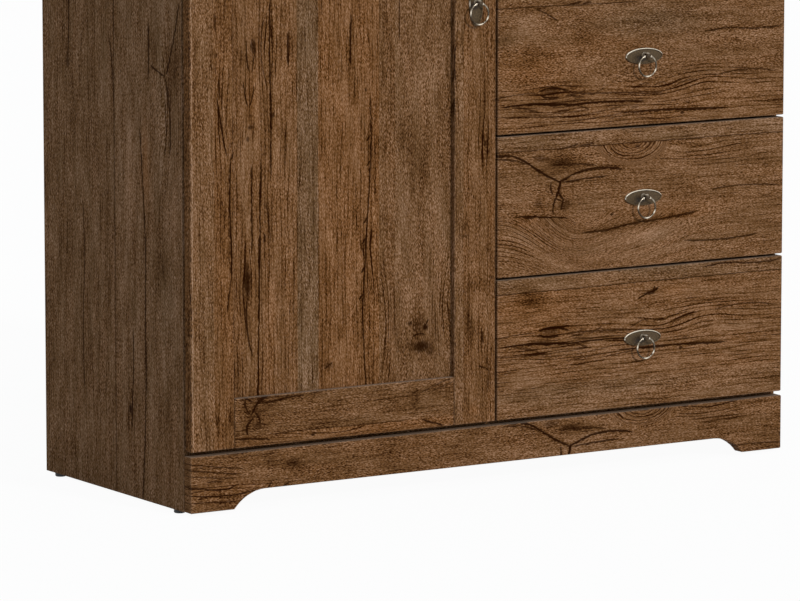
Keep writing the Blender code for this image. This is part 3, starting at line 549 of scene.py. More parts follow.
figures["plinthEnd"] = dict(
    cracks=[
        (0.6, 0.9, [(-8, 36), (25, 30), (45, 27.5), (60, 29), (78, 37)]),
        (0.6, 0.9, [(-8, 24), (40, 20), (75, 20), (104, 24.5)]),
        (0.5, 0.8, [(-8, 14), (30, 12.5), (74, 10)]),
        (0.5, 0.8, [(-8, 66), (40, 58), (84, 52)]),
        (0.5, 0.8, [(-8, 58), (30, 52), (80, 45)]),
        (0.4, 0.7, [(-8, 50), (30, 45), (70, 41)]),
        (0.8, 0.8, [(137, 22.5), (149, 29)]),
        (0.8, 0.75, [(116, 23), (122, 33)]),
        (0.6, 0.75, [(22, 39), (34, 39.5), (50, 38)]),
    ],
    knots=[((155, 53), (9, 7), 0.5)],
    patches=[
        ((155, 50), (14, 14), -0.14, 0.0), ((120, 52), (6, 20), -0.09, 0.0),
        ((305, 46), (16, 18), -0.12, 0.0), ((60, 28), (60, 8), 0.03, 0.08),
        ((640, 36), (170, 60), 0.08, -0.02),
    ],
    swirls=[((40, 28), (60, 10), -6, 0)],
    planks=[(-20, 120, -0.07, 0.0, 0.0)],
)

figures["flank"] = dict(
    cracks=[
        (1.0, 0.85, [(-10, 108), (110, 98), (160, 96), (220, 97), (340, 96), (370, 98),
                     (470, 107), (494, 110)]),
        (1.0, 0.8, [(82, 136), (130, 132), (180, 129), (228, 130)]),
        (0.7, 0.6, [(-10, 176), (300, 176.4), (600, 176), (860, 176)]),
        (0.9, 0.85, [(456, 32), (480, 29), (540, 35), (564, 42)]),
        (0.9, 0.85, [(558, 42), (610, 20), (664, 4)]),
        (0.6, 0.75, [(486, 40), (534, 42)]),
        (0.9, 0.8, [(561, 41), (566, 60), (574, 82)]),
        (0.9, 0.85, [(550, 85), (592, 84.4), (634, 85)]),
        (0.9, 0.8, [(505, 177), (580, 183), (606, 190)]),
        (0.7, 0.75, [(120, 260), (200, 264), (300, 259), (380, 262)]),
        (0.9, 0.8, [(560, 300), (640, 296), (740, 301)]),
    ],
    knots=[((117, 138), (9, 4.5), 0.9), ((560, 300), (10, 5), 0.6)],
    patches=[
        ((117, 137), (34, 10), -0.08, 0.04), ((584, 12), (30, 14), -0.15, 0.0),
        ((555, 26), (30, 14), -0.16, 0.0), ((605, 80), (14, 8), -0.14, 0.0), ((590, 70), (14, 8), -0.12, 0.0),
        ((435, 95), (50, 16), 0.0, 0.16), ((260, 40), (90, 20), 0.02, -0.04),
        ((313, 58), (36, 22), -0.15, 0.0), ((425, 138), (90, 20), 0.09, 0.06),
        ((371, 19), (40, 14), 0.08, 0.05), ((442, 94), (50, 7), 0.07, 0.12),
        ((76, 35), (60, 34), -0.07, 0.03),
    ],
    swirls=[((117, 138), (36, 10), 0, 7), ((520, 36), (80, 16), 14, 0)],
    planks=[(-20, 176, 0.04, -0.22, 0.0), (176, 420, -0.01, -0.22, 0.1)],
)

# turns that bring a board's grain to the first axis, its width to the second and its face to the third
turns = dict(
    upright=(90, 0, 90),        # along z, across x
    level=(-90, 0, 0),          # along x, across z
    flank=(0, 90, 0),           # along z, across y
    flat=(0, 0, 0),             # along x, across y
    runner=(-90, -90, 0),       # along y, across z
)

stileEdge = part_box("door_stile_hinge")[1].x
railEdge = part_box("door_rail_bottom")[1].z

# each board: the turn of its grain, a seed, how streaky it is, and the figures drawn on it, as
# (name, shift along, shift across) from its lowest corner, or from the corner, in metres, that is given
boards = {
    "door_panel": dict(turn="upright", seed=2.0, streak=0.0, drawn=[("doorPanel", 0, 0)],
                       corner=(stileEdge, None, railEdge)),
    "door_stile_hinge": dict(turn="upright", seed=11.0, streak=0.45, drawn=[("hingeStile", 0, 0)]),
    "door_stile_handle": dict(turn="upright", seed=23.0, streak=0.35, drawn=[("pullStile", 0, 0)]),
    "door_rail_bottom": dict(turn="level", seed=31.0, streak=0.4, drawn=[("bottomRail", 0, 0)],
                             corner=(stileEdge, None, None)),
    "door_rail_top": dict(turn="level", seed=37.0, streak=0.4, drawn=[("eyeKnot", 20, -20)],
                          corner=(stileEdge, None, None)),
    "drawer_1_front": dict(turn="level", seed=43.0, streak=0.35, drawn=[("forkedCrack", 0, 38)]),
    "drawer_2_front": dict(turn="level", seed=51.0, streak=0.12, drawn=[("eyeKnot", 0, 0)]),
    "drawer_3_front": dict(turn="level", seed=43.0, streak=0.35, drawn=[("forkedCrack", 0, 0)]),
    "drawer_4_front": dict(turn="level", seed=51.0, streak=0.35,
                           drawn=[("eyeKnot", 0, 61), ("drawerFour", 0, 0)]),
    "plinth_front": dict(turn="level", seed=63.0, streak=0.3,
                         drawn=[("plinthEnd", 0, 0), ("forkedCrack", 490, -88)]),
    "side_left": dict(turn="flank", seed=71.0, streak=0.35, drawn=[("flank", 0, 0)]),
    "side_right": dict(turn="flank", seed=79.0, streak=0.35, drawn=[("flank", 90, 60)]),
    "top_panel": dict(turn="flat", seed=83.0, streak=0.4,
                      drawn=[("eyeKnot", 70, 20), ("forkedCrack", 500, 190)]),
}
drawing = dict(
    wander=(190, 70), wanderReach=9.0,   # noise that the grain strays by: its cell and how far, mm
    jitter=(9, 9),                       # noise that roughens what is drawn
    shake=(3.0, -1.5),                   # how far it moves an edge, mm
    ragged=(1.8, 0.1),                   # how it widens a crack
    fleck=(16, 1.7),                     # noise that streaks a knot
    patchy=(-0.6, -0.9, 0.3),            # how much of a knot is left by jitter, by fleck, everywhere
    knot=1.8,                            # how full a knot is
    patchTone=1.4, patchRed=1.7,         # strength of the patches
    pores=(7, 1.4),                      # noise of the bump
    detail=2.0,                          # of wander and jitter
    uncut=(1000, 1),                     # limit and lines of a swirl that isn't cut off
    eyeEdge=6.0,                         # sharpness of an eye's edge
    plankShift=3.7,                      # jump of the grain from plank to plank
    curlStreak=0.5,                      # streak that a figure adds
)


def onBoard(grain, points, margin):
    spread = np.array(points)
    return (spread.max(0) > grain.least - margin).all() and (spread.min(0) < grain.most + margin).all()


def shifted(points, shift):
    return [(along + shift[0], across + shift[1]) for along, across in points]


def reaching(grain, rows, shift):        # the marks that reach the board, moved to their place on it
    for middle, reach, *rest in rows:
        (middle,) = shifted([middle], shift)
        if onBoard(grain, [middle], max(reach)):
            yield middle, reach, *rest


def drawCrack(w, grain, half, strength, points):
    run, rise = [abs(last - first) for first, last in zip(points[0], points[-1])]
    steep = rise > run
    way, side = (grain.across, grain.looseAlong) if steep else (grain.along, grain.loose)
    points = sorted(point[::-1] if steep else point for point in points)
    lean = cos(atan2(min(run, rise), max(run, rise)))
    start, stop = points[0][0], points[-1][0]
    tip = min(crack["tipShare"] * (stop - start), crack["tip"])
    wide = crack["least"] + crack["width"] * half
    path = w.curve(way, points)
    mask, halo = w.group(grainCrack, side, path, way, start, stop, wide, lean, grain.ragged, tip)
    grain.dark = w.larger(grain.dark, w.times(mask, strength))
    grain.shade = w.larger(grain.shade, w.times(halo, half))


def drawFigure(w, grain, figure, shift):         # adds a figure's marks to the grain so far
    for middle, reach, lift, spread, *cut in reaching(grain, figure["swirls"], shift):
        highest, lines = cut or drawing["uncut"]
        bell, offset = w.group(grainBell, grain.along, grain.across, *middle, *reach)[:2]
        held = w.below(grain.across, highest + shift[1])
        push = w.times(bell, w.linear(offset, -spread, lift))
        grain.flow = w.linear(push, held, grain.flow)
        grain.curl = w.linear(bell, w.times(held, lines), grain.curl)
    for middle, reach, count, highest in reaching(grain, figure.get("eyes", []), shift):
        radius = w.group(grainBell, grain.looseAlong, grain.loose, *middle, *reach)["radius"]
        within = w.linear(radius, -drawing["eyeEdge"], drawing["eyeEdge"], clamp=True)
        inside = w.times(within, w.below(grain.across, highest + shift[1]))
        ringed = w.linear(radius, count * fibre["ringPitch"], w.minus(grain.flow, grain.across))
        grain.flow = w.linear(inside, w.minus(ringed, grain.flow), grain.flow)
        grain.curl = w.larger(grain.curl, inside)
    for start, stop, paler, redder, straighter in figure["planks"]:
        inside = w.times(w.above(grain.loose, start + shift[1]), w.below(grain.loose, stop + shift[1]))
        grain.tone = w.linear(inside, paler, grain.tone)
        grain.red = w.linear(inside, redder, grain.red)
        grain.streak = w.linear(inside, straighter, grain.streak)
        grain.flow = w.linear(inside, start * drawing["plankShift"], grain.flow)
    for middle, reach, paler, redder in reaching(grain, figure["patches"], shift):
        bell = w.group(grainBell, grain.looseAlong, grain.loose, *middle, *reach)["bell"]
        grain.tone = w.linear(bell, paler * drawing["patchTone"], grain.tone)
        grain.red = w.linear(bell, redder * drawing["patchRed"], grain.red)
    for middle, reach, strength in reaching(grain, figure["knots"], shift):
        bell = w.group(grainBell, grain.looseAlong, grain.loose, *middle, *reach)["bell"]
        core = w.linear(bell, drawing["knot"], grain.patchy, clamp=True)
        grain.dark = w.larger(grain.dark, w.times(core, strength))
    for half, strength, points in figure["cracks"]:
        points = shifted(points, shift)
        if onBoard(grain, points, crack["margin"]):
            drawCrack(w, grain, half, strength, points)


def oakMaterial(name, node, turn, seed, streak, drawn=(), corner=(None, None, None), lip=None):
    material, w = newMaterial(name, oak["specular"])
    low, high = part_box(node)
    corner = Vector([lowest if own is None else own for lowest, own in zip(low, corner)])
    angles = [radians(angle) for angle in turns[turn]]
    tilt = Euler(angles).to_matrix()
    ends = [tilt @ ((place - corner) / millimetre) for place in (low, high)]
    least, most = [[pick(pair) for pair in zip(*ends)] for pick in (min, max)]
    place = w.add("Mapping", w.add("TexCoord").outputs["Object"], tilt @ corner / -millimetre, angles,
                  (1 / millimetre,) * 3)
    along, across, deep = w.split(place.outputs[0])

    def cells(key, third, detail=0.0, offset=0.0):
        length, width = drawing[key]
        u = w.linear(along, 1 / length, offset)
        return w.noise(w.point(u, w.times(across, 1 / width), third), detail)

    wander = cells("wander", 0.0, drawing["detail"], seed)
    jitter = cells("jitter", seed, drawing["detail"])
    shake = w.linear(jitter, *drawing["shake"])
    byJitter, byFleck, everywhere = drawing["patchy"]
    grain = SimpleNamespace(
        least=np.array(least[:2]), most=np.array(most[:2]),
        along=along, across=across, looseAlong=w.plus(along, shake), loose=w.plus(across, shake),
        flow=w.linear(w.minus(wander, 0.5), drawing["wanderReach"], across),
        ragged=w.linear(jitter, *drawing["ragged"]),
        patchy=w.linear(jitter, byJitter, w.linear(cells("fleck", seed), byFleck, everywhere)),
        tone=0.5, red=0.5, streak=streak, curl=0.0, dark=0.0, shade=0.0,
    )
    for figureName, *shift in drawn:
        drawFigure(w, grain, figures[figureName], shift)

    streak = w.smaller(w.linear(grain.curl, drawing["curlStreak"], grain.streak), 1.0)
    fibres = w.group(oakFibres, along, grain.flow, deep, seed, streak, w.smaller(grain.curl, 1.0))
    tone = w.linear(grain.shade, -crack["halo"], w.plus(grain.tone, fibres["tone"]))
    red = w.linear(fibres["hue"], oak["hue"], grain.red, clamp=True)
    warm, cool = [w.ramp(tone, oak["stops"], oak[key]) for key in ("warm", "cool")]
    wood = w.blend(grain.dark, w.blend(red, cool, warm), oak["crack"])
    if lip is not None:      # rubbed arrises, and a painted highlight band on faces that point up
        spans = [value for pair in zip(least, most) for value in pair]
        arris = w.times(w.group(boardEdge, along, across, deep, *spans)["edge"], oak["wear"])
        upward = w.split(w.add("NewGeometry").outputs["Normal"])["Z"]
        # painted highlight: faces whose normal points up blend toward the pale colour
        band = w.times(w.above(upward, oak["upward"]), lip)
        wood = w.blend(w.larger(arris, band), wood, oak["wornAndHighlit"])
    pores = cells("pores", w.times(deep, 1 / drawing["pores"][1]))
    coat(w, wood, w.linear(tone, *oak["roughness"]), pores, *oak["bump"])
    return material


def dress(node, material):
    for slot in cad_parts[node].material_slots:
        slot.material = material


boardOak = {}
for node, board in boards.items():
    # the painted highlight on upper edges goes on the front boards only
    lip = oak["lip"] if board["turn"] in ("level", "upright") else 0.0
    boardOak[node] = oakMaterial("oak_" + node, node, lip=lip, **board)
    dress(node, boardOak[node])
print("oak boards:", len(boards))


# finishes of the metal, plastic and hidden boards, with each noise as (cell in millimetres, detail, stretch),
# each level as (slope, start) and each bump as (strength, depth in millimetres)

def objectNoise(w, cell, detail, stretch=(1, 1, 1)):
    scale = [factor / (cell * millimetre) for factor in stretch]
    place = w.add("Mapping", w.add("TexCoord").outputs["Object"], None, None, scale)
    return w.noise(place.outputs[0], detail)


def pewterMaterial():    # dark patina in the dish, a painted highlight where its light attribute is 1, a painted shadow where it is -1
    look = dict(
        field=(srgb(28, 18, 8), srgb(62, 46, 25), srgb(90, 71, 43)),     # painted shadow, dark and light of its patina
        stops=(0.0, 0.35, 0.7),
        # colour of the painted highlight
        bright=srgb(246, 234, 212),
        patina=(2.2, 3.0), pits=(0.7, 2.0), paintedShadow=0.5, highlightRamp=(0.5, 0.75),
        roughness=(0.2, 0.34), smoothing=-0.12, bump=(0.25, 0.12),
    )
    material, w = newMaterial("pewter", specular=0.3, metallic=0.15)
    paintedLightAndShade = w.add("Attribute", attribute_name="paintedLightAndShade").outputs["Fac"]
    patina = objectNoise(w, *look["patina"])
    # the painted shadow darkens the patina, the painted highlight blends toward the bright colour
    field = w.ramp(w.linear(w.smaller(paintedLightAndShade, 0.0), look["paintedShadow"], patina), look["stops"], look["field"])
    level = w.times(paintedLightAndShade, w.linear(patina, *look["highlightRamp"]), clamp=True)
    roughness = w.linear(level, look["smoothing"], w.linear(patina, *look["roughness"]))
    pits = objectNoise(w, *look["pits"])
    coat(w, w.blend(level, field, look["bright"]), roughness, pits, *look["bump"])
    return material


def nickelMaterial():    # painted reflections round the ring: bright highlights and dark stretches at set places, over tarnish
    look = dict(
        # tarnish, and colour of the painted highlights
        colours=(srgb(62, 51, 38), srgb(236, 224, 203)),
        paintedGlints=((0.0, 0.2), (0.05, 0.9), (0.09, 0.25), (0.14, 0.4), (0.19, 0.1), (0.28, 0.03), (0.325, 1.0),
               (0.37, 0.05), (0.43, 0.15), (0.5, 1.0), (0.55, 0.15), (0.6, 0.0), (0.72, 0.03), (0.775, 1.0),
               (0.81, 0.3), (0.85, 0.1), (0.9, 0.2), (0.95, 0.9), (1.0, 0.2)),   # painted highlight level round the ring from its top
        tarnish=(1.6, 2.0), spread=0.5, roughness=(-0.12, 0.36), bump=(0.12, 0.05),
    )
    material, w = newMaterial("nickel", metallic=1.0)
    places, levels = zip(*look["paintedGlints"])
    turn = w.add("Attribute", attribute_name="turn").outputs["Fac"]
    # painted highlights by place round the ring
    paintedGlints = w.ramp(turn, places, [(level, level, level, 1.0) for level in levels])
    tarnish = objectNoise(w, *look["tarnish"])
    level = w.linear(w.minus(tarnish, 0.5), look["spread"], paintedGlints, clamp=True)
    coat(w, w.blend(level, *look["colours"]), w.linear(level, *look["roughness"]), tarnish, *look["bump"])
    return material


def steelMaterial():     # plated sheet with fine drawn lines
    look = dict(
        colours=(srgb(150, 146, 138), srgb(206, 203, 196)), stops=(0.25, 0.75),
        lines=(3.0, 2.0, (1, 1, 12)), smear=(14.0, 3.0), spread=0.6,
        roughness=(0.24, 0.18), bump=(0.08, 0.05),
    )
    material, w = newMaterial("hinge_steel", metallic=1.0)
    lines, smear = objectNoise(w, *look["lines"]), objectNoise(w, *look["smear"])
    level = w.linear(w.minus(lines, 0.5), look["spread"], smear, clamp=True)
    colour = w.ramp(level, look["stops"], look["colours"])
    coat(w, colour, w.linear(smear, *look["roughness"]), lines, *look["bump"])
    return material


def hardboardMaterial():         # pressed brown fibres with the marks of the screen it was pressed on
    look = dict(
        colours=(srgb(82, 55, 33), srgb(128, 93, 60)), stops=(0.25, 0.8),
        fibres=(5.0, 4.0), blot=(60.0, 3.0), spread=0.8, roughness=(0.2, 0.6), bump=(0.35, 0.2),
        mesh=1.3, meshLift=1.2, meshTone=0.035, meshBump=0.2,        # pitch of the screen in millimetres
    )
    material, w = newMaterial("hardboard", specular=0.2)
    fibres, blot = objectNoise(w, *look["fibres"]), objectNoise(w, *look["blot"])
    pitch = fullTurn / (look["mesh"] * millimetre)
    axes = w.split(w.add("TexCoord").outputs["Object"])
    x, y, z = [w.calc("SINE", w.times(axis, pitch)) for axis in axes]
    weave = w.times(w.plus(x, look["meshLift"]), w.plus(w.plus(y, z), look["meshLift"]))
    level = w.linear(w.minus(blot, 0.5), look["spread"], fibres, clamp=True)
    level = w.linear(weave, look["meshTone"], level, clamp=True)
    colour = w.ramp(level, look["stops"], look["colours"])
    height = w.linear(weave, look["meshBump"], fibres)
    coat(w, colour, w.linear(level, *look["roughness"]), height, *look["bump"])
    return material


def beechMaterial():     # pale close grain along Y with short darker flecks
    look = dict(
        colours=(srgb(152, 114, 76), srgb(196, 158, 114)), stops=(0.25, 0.75), fleckColour=srgb(120, 80, 48),
        grain=(1.6, 3.0, (1, 0.03, 1)), fleck=(1.2, 0.0, (1, 0.22, 1)), fleckCut=(9.0, -5.9), fleckLevel=0.6,
        roughness=(0.3, 0.4), bump=(0.2, 0.1),
    )
    material, w = newMaterial("batten_wood", specular=0.3)
    grain = objectNoise(w, *look["grain"])
    fleck = w.linear(objectNoise(w, *look["fleck"]), *look["fleckCut"], clamp=True)
    base = w.ramp(grain, look["stops"], look["colours"])
    colour = w.blend(w.times(fleck, look["fleckLevel"]), base, look["fleckColour"])
    coat(w, colour, w.linear(grain, *look["roughness"]), grain, *look["bump"])
    return material


def plasticMaterial():   # moulded black with a fine grain, scuffed paler in spots
    look = dict(
        colours=(srgb(16, 16, 17), srgb(38, 38, 40)), stops=(0.35, 0.75),
        grain=(0.5, 2.0), scuff=(4.0, 4.0), roughness=(0.4, 0.3), bump=(0.3, 0.06),
    )
    material, w = newMaterial("black_plastic", specular=0.4)
    grain, scuff = objectNoise(w, *look["grain"]), objectNoise(w, *look["scuff"])
    colour = w.ramp(scuff, look["stops"], look["colours"])
    coat(w, colour, w.linear(scuff, *look["roughness"]), grain, *look["bump"])
    return material


pewter, nickel, hingeSteel = pewterMaterial(), nickelMaterial(), steelMaterial()
drawers = ["drawer_%d" % number for number in (1, 2, 3, 4)]
insideStreak = 0.4
insides = dict(          # plainer oak of the hidden boards: the turn of its grain and the boards that take it
    shelves=dict(turn="flat", seed=91.0, nodes=["bottom_panel", "shelf"]),
    uprights=dict(turn="flank", seed=97.0, nodes=["partition"]),
    runners=dict(turn="runner", seed=103.0,
                 nodes=[drawer + side for drawer in drawers for side in ("_side_left", "_side_right")]),
    rears=dict(turn="level", seed=109.0, nodes=["plinth_rear"] + [drawer + "_back" for drawer in drawers]),
)
for name, inside in insides.items():
    nodes = inside["nodes"]
    material = oakMaterial("oak_inside_" + name, nodes[0], inside["turn"], inside["seed"], insideStreak)
    for node in nodes:
        dress(node, material)
others = dict(batten=beechMaterial(), glide=plasticMaterial(), hinge=hingeSteel)
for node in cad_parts:
    if node.split("_")[0] in others:
        dress(node, others[node.split("_")[0]])
hardboard = hardboardMaterial()
for node in ["back_panel"] + [drawer + "_bottom" for drawer in drawers]:
    dress(node, hardboard)
print("hidden boards, metal and plastic dressed")


# surfaces: rows and columns of points in millimetres become quads, then doubled points merge
# and faces turn outward

ways = dict(                     # where (sideways, upward, outward) of a fitting lie in the frame
    front=((1, 0, 0), (0, 0, 1), (0, -1, 0)),
    back=((1, 0, 0), (0, 0, 1), (0, 1, 0)),
    right=((0, 1, 0), (0, 0, 1), (1, 0, 0)),
    up=((1, 0, 0), (0, 1, 0), (0, 0, 1)),
)
mergeReach, sharpAngle = 0.002, 35       # mm, degrees


def placed(grid, way, spot):     # spot + millimetres turned to the way that a fitting faces
    return np.asarray(spot) + grid @ np.array(ways[way], float) * millimetre


def addPiece(name, grids, material, body, replaced=(), tags=None):
    points, faces, count = [], [], 0
    for grid in grids:
        index = np.arange(grid[..., 0].size).reshape(grid.shape[:2]) + count
        onward = np.roll(index, -1, axis=1)
        quads = np.stack([index[:-1], onward[:-1], onward[1:], index[1:]], -1)
        points.append(grid.reshape(-1, 3))
        faces.append(quads.reshape(-1, 4))
        count += index.size
    mesh = bpy.data.meshes.new(name)
    mesh.from_pydata(np.concatenate(points).tolist(), [], np.concatenate(faces).tolist())
    for tagName, values in (tags or {}).items():
        values = np.ravel(values).astype(np.float32)
        mesh.attributes.new(tagName, "FLOAT", "POINT").data.foreach_set("value", values)
    shape = bmesh.new()
    shape.from_mesh(mesh)
    bmesh.ops.remove_doubles(shape, verts=shape.verts, dist=mergeReach * millimetre)
    bmesh.ops.recalc_face_normals(shape, faces=shape.faces)
    shape.to_mesh(mesh)
    shape.free()
    mesh.shade_smooth()
    mesh.set_sharp_from_angle(angle=radians(sharpAngle))
    mesh.materials.append(material)
    piece = bpy.data.objects.new(name, mesh)
    bpy.context.scene.collection.objects.link(piece)
    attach(piece, body)
    if replaced:
        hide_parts(*replaced)
    return piece


def carried(outline, normal, profile):   # shrink * (outline - inset * normal), at each profile row's height
    shrink, inset, height = np.array(profile).T[:, :, None]
    flat = shrink[..., None] * (outline[None] - inset[..., None] * normal[None])
    return np.concatenate([flat, np.broadcast_to(height[..., None], flat.shape[:2] + (1,))], -1)


def turned(profile, steps):      # radius * (cos, sin) about the outward axis, at each profile row's height
    radius, height = np.array(profile).T[:, :, None]
    angle = np.linspace(0, fullTurn, steps, endpoint=False)
    return np.stack([radius * np.cos(angle), radius * np.sin(angle), height + 0 * angle], -1)


# ring pulls: an oval cast plate with a raised rim, a bored knuckle on a neck, and a ring with two collars

pull = dict(
    length=59.5, width=21.3, drop=1.0,                   # drop: the plate's middle below the ring's axis
    rimWidth=1.8, rimHeight=2.2, rimGap=0.2, backEdge=0.3, field=1.4, hollow=1.0,
    plateSteps=128, rimSteps=11, dishSteps=9,
    highlightRamp=(1.6, -0.3), tipHighlight=0.1,                      # painted highlight on the rim: upper side, and left tip
    # painted shadow in the dish, below left of the knuckle: place, reach, strength
    shadowPlace=(-6, -2), shadowReach=(8, 4.5), paintedShadow=0.9,
    knuckle=4.2, bore=2.397, reach=9.3, boreEdge=0.25, boreMouth=0.2,
    ballSteps=15, boreSteps=7, turnSteps=40,
    knuckleLightRamp=(2.4, -1.5, -0.3, 0.9),                       # painted highlight on the knuckle's top and painted shade under it: slope, start, least, most
    neck=2.5, neckWall=0.5, neckBright=0.1, coveSteps=8,
    foot=4.6, footRows=((0, 0.6), (0, 1.7), (0.15, 2.1), (0.6, 2.3), (0.9, 2.4)),    # inset and height
    ringRadius=13.95, wire=1.2, collar=1.95, collarPlace=5.4, collarWidth=0.85,
    ringSteps=144, wireSteps=20,
)


def plateGrid(across, up):       # an ellipse with a half-round rim, a shallow dish and a flat back, with painted highlight and shadow
    turn = np.linspace(0, fullTurn, pull["plateSteps"], endpoint=False)
    outline = np.stack([across / 2 * np.cos(turn), up / 2 * np.sin(turn)], -1)
    normal = np.stack([np.cos(turn) / across, np.sin(turn) / up], -1)
    normal /= np.linalg.norm(normal, axis=-1, keepdims=True)
    bead = pull["rimWidth"] / 2
    crown = pull["rimHeight"] - bead
    back = [(0, 0, 0), (1, pull["backEdge"], 0), (1, 0, pull["backEdge"])]
    rim = [(1, bead - bead * cos(angle), crown + bead * sin(angle))
           for angle in np.linspace(0, pi, pull["rimSteps"])]
    inner = pull["rimWidth"] + pull["rimGap"]
    rise = pull["field"] - pull["hollow"]
    dish = [(share, inner, pull["hollow"] + rise * (1 - share ** 2) ** 2)
            for share in np.linspace(1, 0, pull["dishSteps"])]
    grid = carried(outline, normal, back + rim + dish)
    # painted highlight on the rim's upper side and at its left tip, painted shadow in the dish beside the
    # knuckle
    slope, start = pull["highlightRamp"]
    bright = np.maximum(np.clip(slope * normal[:, 1] + start, 0, 1),
                        np.exp(-((turn - pi) / pull["tipHighlight"]) ** 2))
    onRim = (np.arange(len(grid)) < len(back) + len(rim) // 2)[:, None]
    offset = (grid[..., :2] - np.array(pull["shadowPlace"])) / np.array(pull["shadowReach"])
    return grid, onRim * bright - pull["paintedShadow"] * ~onRim * np.exp(-(offset ** 2).sum(-1))


def knuckleGrid():       # sphere outside, bore inside, revolved about the sideways axis, with a painted highlight at its top and painted shade underneath
    ball, bore = pull["knuckle"], pull["bore"]
    edge = np.sqrt(ball ** 2 - bore ** 2) - pull["boreEdge"]
    mouth = edge + pull["boreMouth"]
    outside = np.linspace(-edge, edge, pull["ballSteps"])
    inside = np.linspace(edge, -edge, pull["boreSteps"])
    sphere = np.sqrt(ball ** 2 - outside ** 2)
    lip = [bore + pull["boreEdge"]]
    along = np.concatenate([outside, [mouth], inside, [-mouth], outside[:1]])[:, None]
    radius = np.concatenate([sphere, lip, np.full(inside.size, bore), lip, sphere[:1]])[:, None]
    turn = np.linspace(0, fullTurn, pull["turnSteps"], endpoint=False)
    grid = np.stack([along + 0 * turn, radius * np.cos(turn), pull["reach"] + radius * np.sin(turn)], -1)
    # painted highlight at the top, painted shade below
    slope, start, least, most = pull["knuckleLightRamp"]
    return grid, np.clip(slope * grid[..., 1] / ball + start, least, most)


def neckGrid():          # foot, cove and neck turned about the outward axis, ending in the knuckle's wall
    top = pull["reach"] - pull["bore"] - pull["neckWall"]
    foot = [(pull["foot"] - inset, height) for inset, height in pull["footRows"]]
    wide, low = foot.pop()       # the cove starts here
    cove = [(pull["neck"] + (wide - pull["neck"]) * (1 - share) ** 3, low + (top - low) * share)
            for share in np.linspace(0, 1, pull["coveSteps"])]
    grid = turned([(0, foot[0][1])] + foot + cove + [(0, top)], pull["turnSteps"])
    return grid, np.full(grid.shape[:2], pull["neckBright"])


def ringGrid():          # a wire carried round a circle, swelling to a collar on each side of the knuckle
    radius = pull["ringRadius"]
    turn = np.linspace(0, fullTurn, pull["ringSteps"] + 1)[:, None]
    arc = radius * np.minimum(turn, fullTurn - turn)
    swell = np.exp(-((arc - pull["collarPlace"]) / pull["collarWidth"]) ** 4)
    wire = pull["wire"] + (pull["collar"] - pull["wire"]) * swell
    around = np.linspace(0, fullTurn, pull["wireSteps"], endpoint=False)[None]
    reach = radius + wire * np.cos(around)
    grid = np.stack([reach * np.sin(turn), reach * np.cos(turn) - radius, wire * np.sin(around)], -1)
    return grid, np.broadcast_to(turn / fullTurn, grid.shape[:2])


owners = drawers + ["door"]
for owner in owners:
    low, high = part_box(owner + "_plate")
    middle = (low + high) / 2
    seat = (middle.x, high.y, middle.z)
    axis = (middle.x, high.y - pull["reach"] * millimetre, middle.z + pull["drop"] * millimetre)
    size = (pull["length"], pull["width"])
    plate, plateLight = plateGrid(*(size[::-1] if owner == "door" else size))      # the door's stands upright
    (knuckle, knuckleLight), (neck, neckBright) = knuckleGrid(), neckGrid()
    lifted = np.array((0, pull["drop"], 0))
    grids = [placed(grid, "front", seat) for grid in (plate, knuckle + lifted, neck + lifted)]
    # painted highlight and shadow of plate and knuckle, and the neck's even brightening
    paintedLightAndShade = np.concatenate([level.ravel() for level in (plateLight, knuckleLight, neckBright)])
    addPiece(owner + "_pull_plate", grids, pewter, owner, [owner + "_plate"], {"paintedLightAndShade": paintedLightAndShade})
    ring, turn = ringGrid()
    addPiece(owner + "_pull_ring", [placed(ring, "front", axis)], nickel, owner + "_ring",
             [owner + "_ring"], {"turn": turn})
print("ring pulls:", len(owners))


# top board: a rounded rectangle with its upper and lower edges rounded over

topBoard = dict(corner=4.0, cornerSteps=6, edgeSteps=6, capShare=0.985)


def topGrid(width, depth, thickness):    # quarter rounds carried round a rectangle with round corners
    corner = topBoard["corner"]
    swing = np.linspace(0, pi / 2, topBoard["cornerSteps"] + 1)
    angle = np.concatenate([swing + quarter * pi / 2 for quarter in range(4)])
    normal = np.stack([np.cos(angle), np.sin(angle)], -1)
    diagonal = angle.reshape(4, -1).mean(1)
    signs = np.sign(np.stack([np.cos(diagonal), np.sin(diagonal)], -1))
    middle = np.repeat(signs, swing.size, axis=0) * (np.array([width, depth]) / 2 - corner)
    outline = middle + corner * normal
    roll = np.linspace(0, pi / 2, topBoard["edgeSteps"] + 1)
    below = [(1, corner - corner * sin(a), corner - corner * cos(a)) for a in roll]
    above = [(1, corner - corner * cos(a), thickness - corner + corner * sin(a)) for a in roll]
    lower, upper = [[(share, corner, height) for share in (topBoard["capShare"], 0.0)]
                    for height in (0.0, thickness)]
    return carried(outline, normal, lower[::-1] + below + above + upper)


low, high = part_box("top_panel")
topSize = (high - low) / millimetre
topSeat = ((low.x + high.x) / 2, (low.y + high.y) / 2, low.z)
addPiece("top_board", [placed(topGrid(*topSize), "up", topSeat)], boardOak["top_panel"], "carcass",
         ["top_panel"])
print("top board made")


# screws and nails: a low dome with a cross cut into it

heads = dict(
    screw=dict(radius=3.0, height=1.0, armWidth=0.45, armReach=1.7, depth=0.7),
    pull=dict(radius=3.6, height=1.5, armWidth=0.5, armReach=2.0, depth=0.9),
    nail=dict(radius=1.7, height=0.25, armWidth=0.2, armReach=0.0, depth=0.0),
)
headShape = dict(domeSteps=13, turnSteps=40, armSide=0.2, armEnd=0.3, sunk=0.2)
hingeFit = dict(board=16.0, wing=3.0, wingMiddle=43.0, wingScrew=17.0, earScrew=24.0)
nailInset, nailPitch = 6.0, 90.0


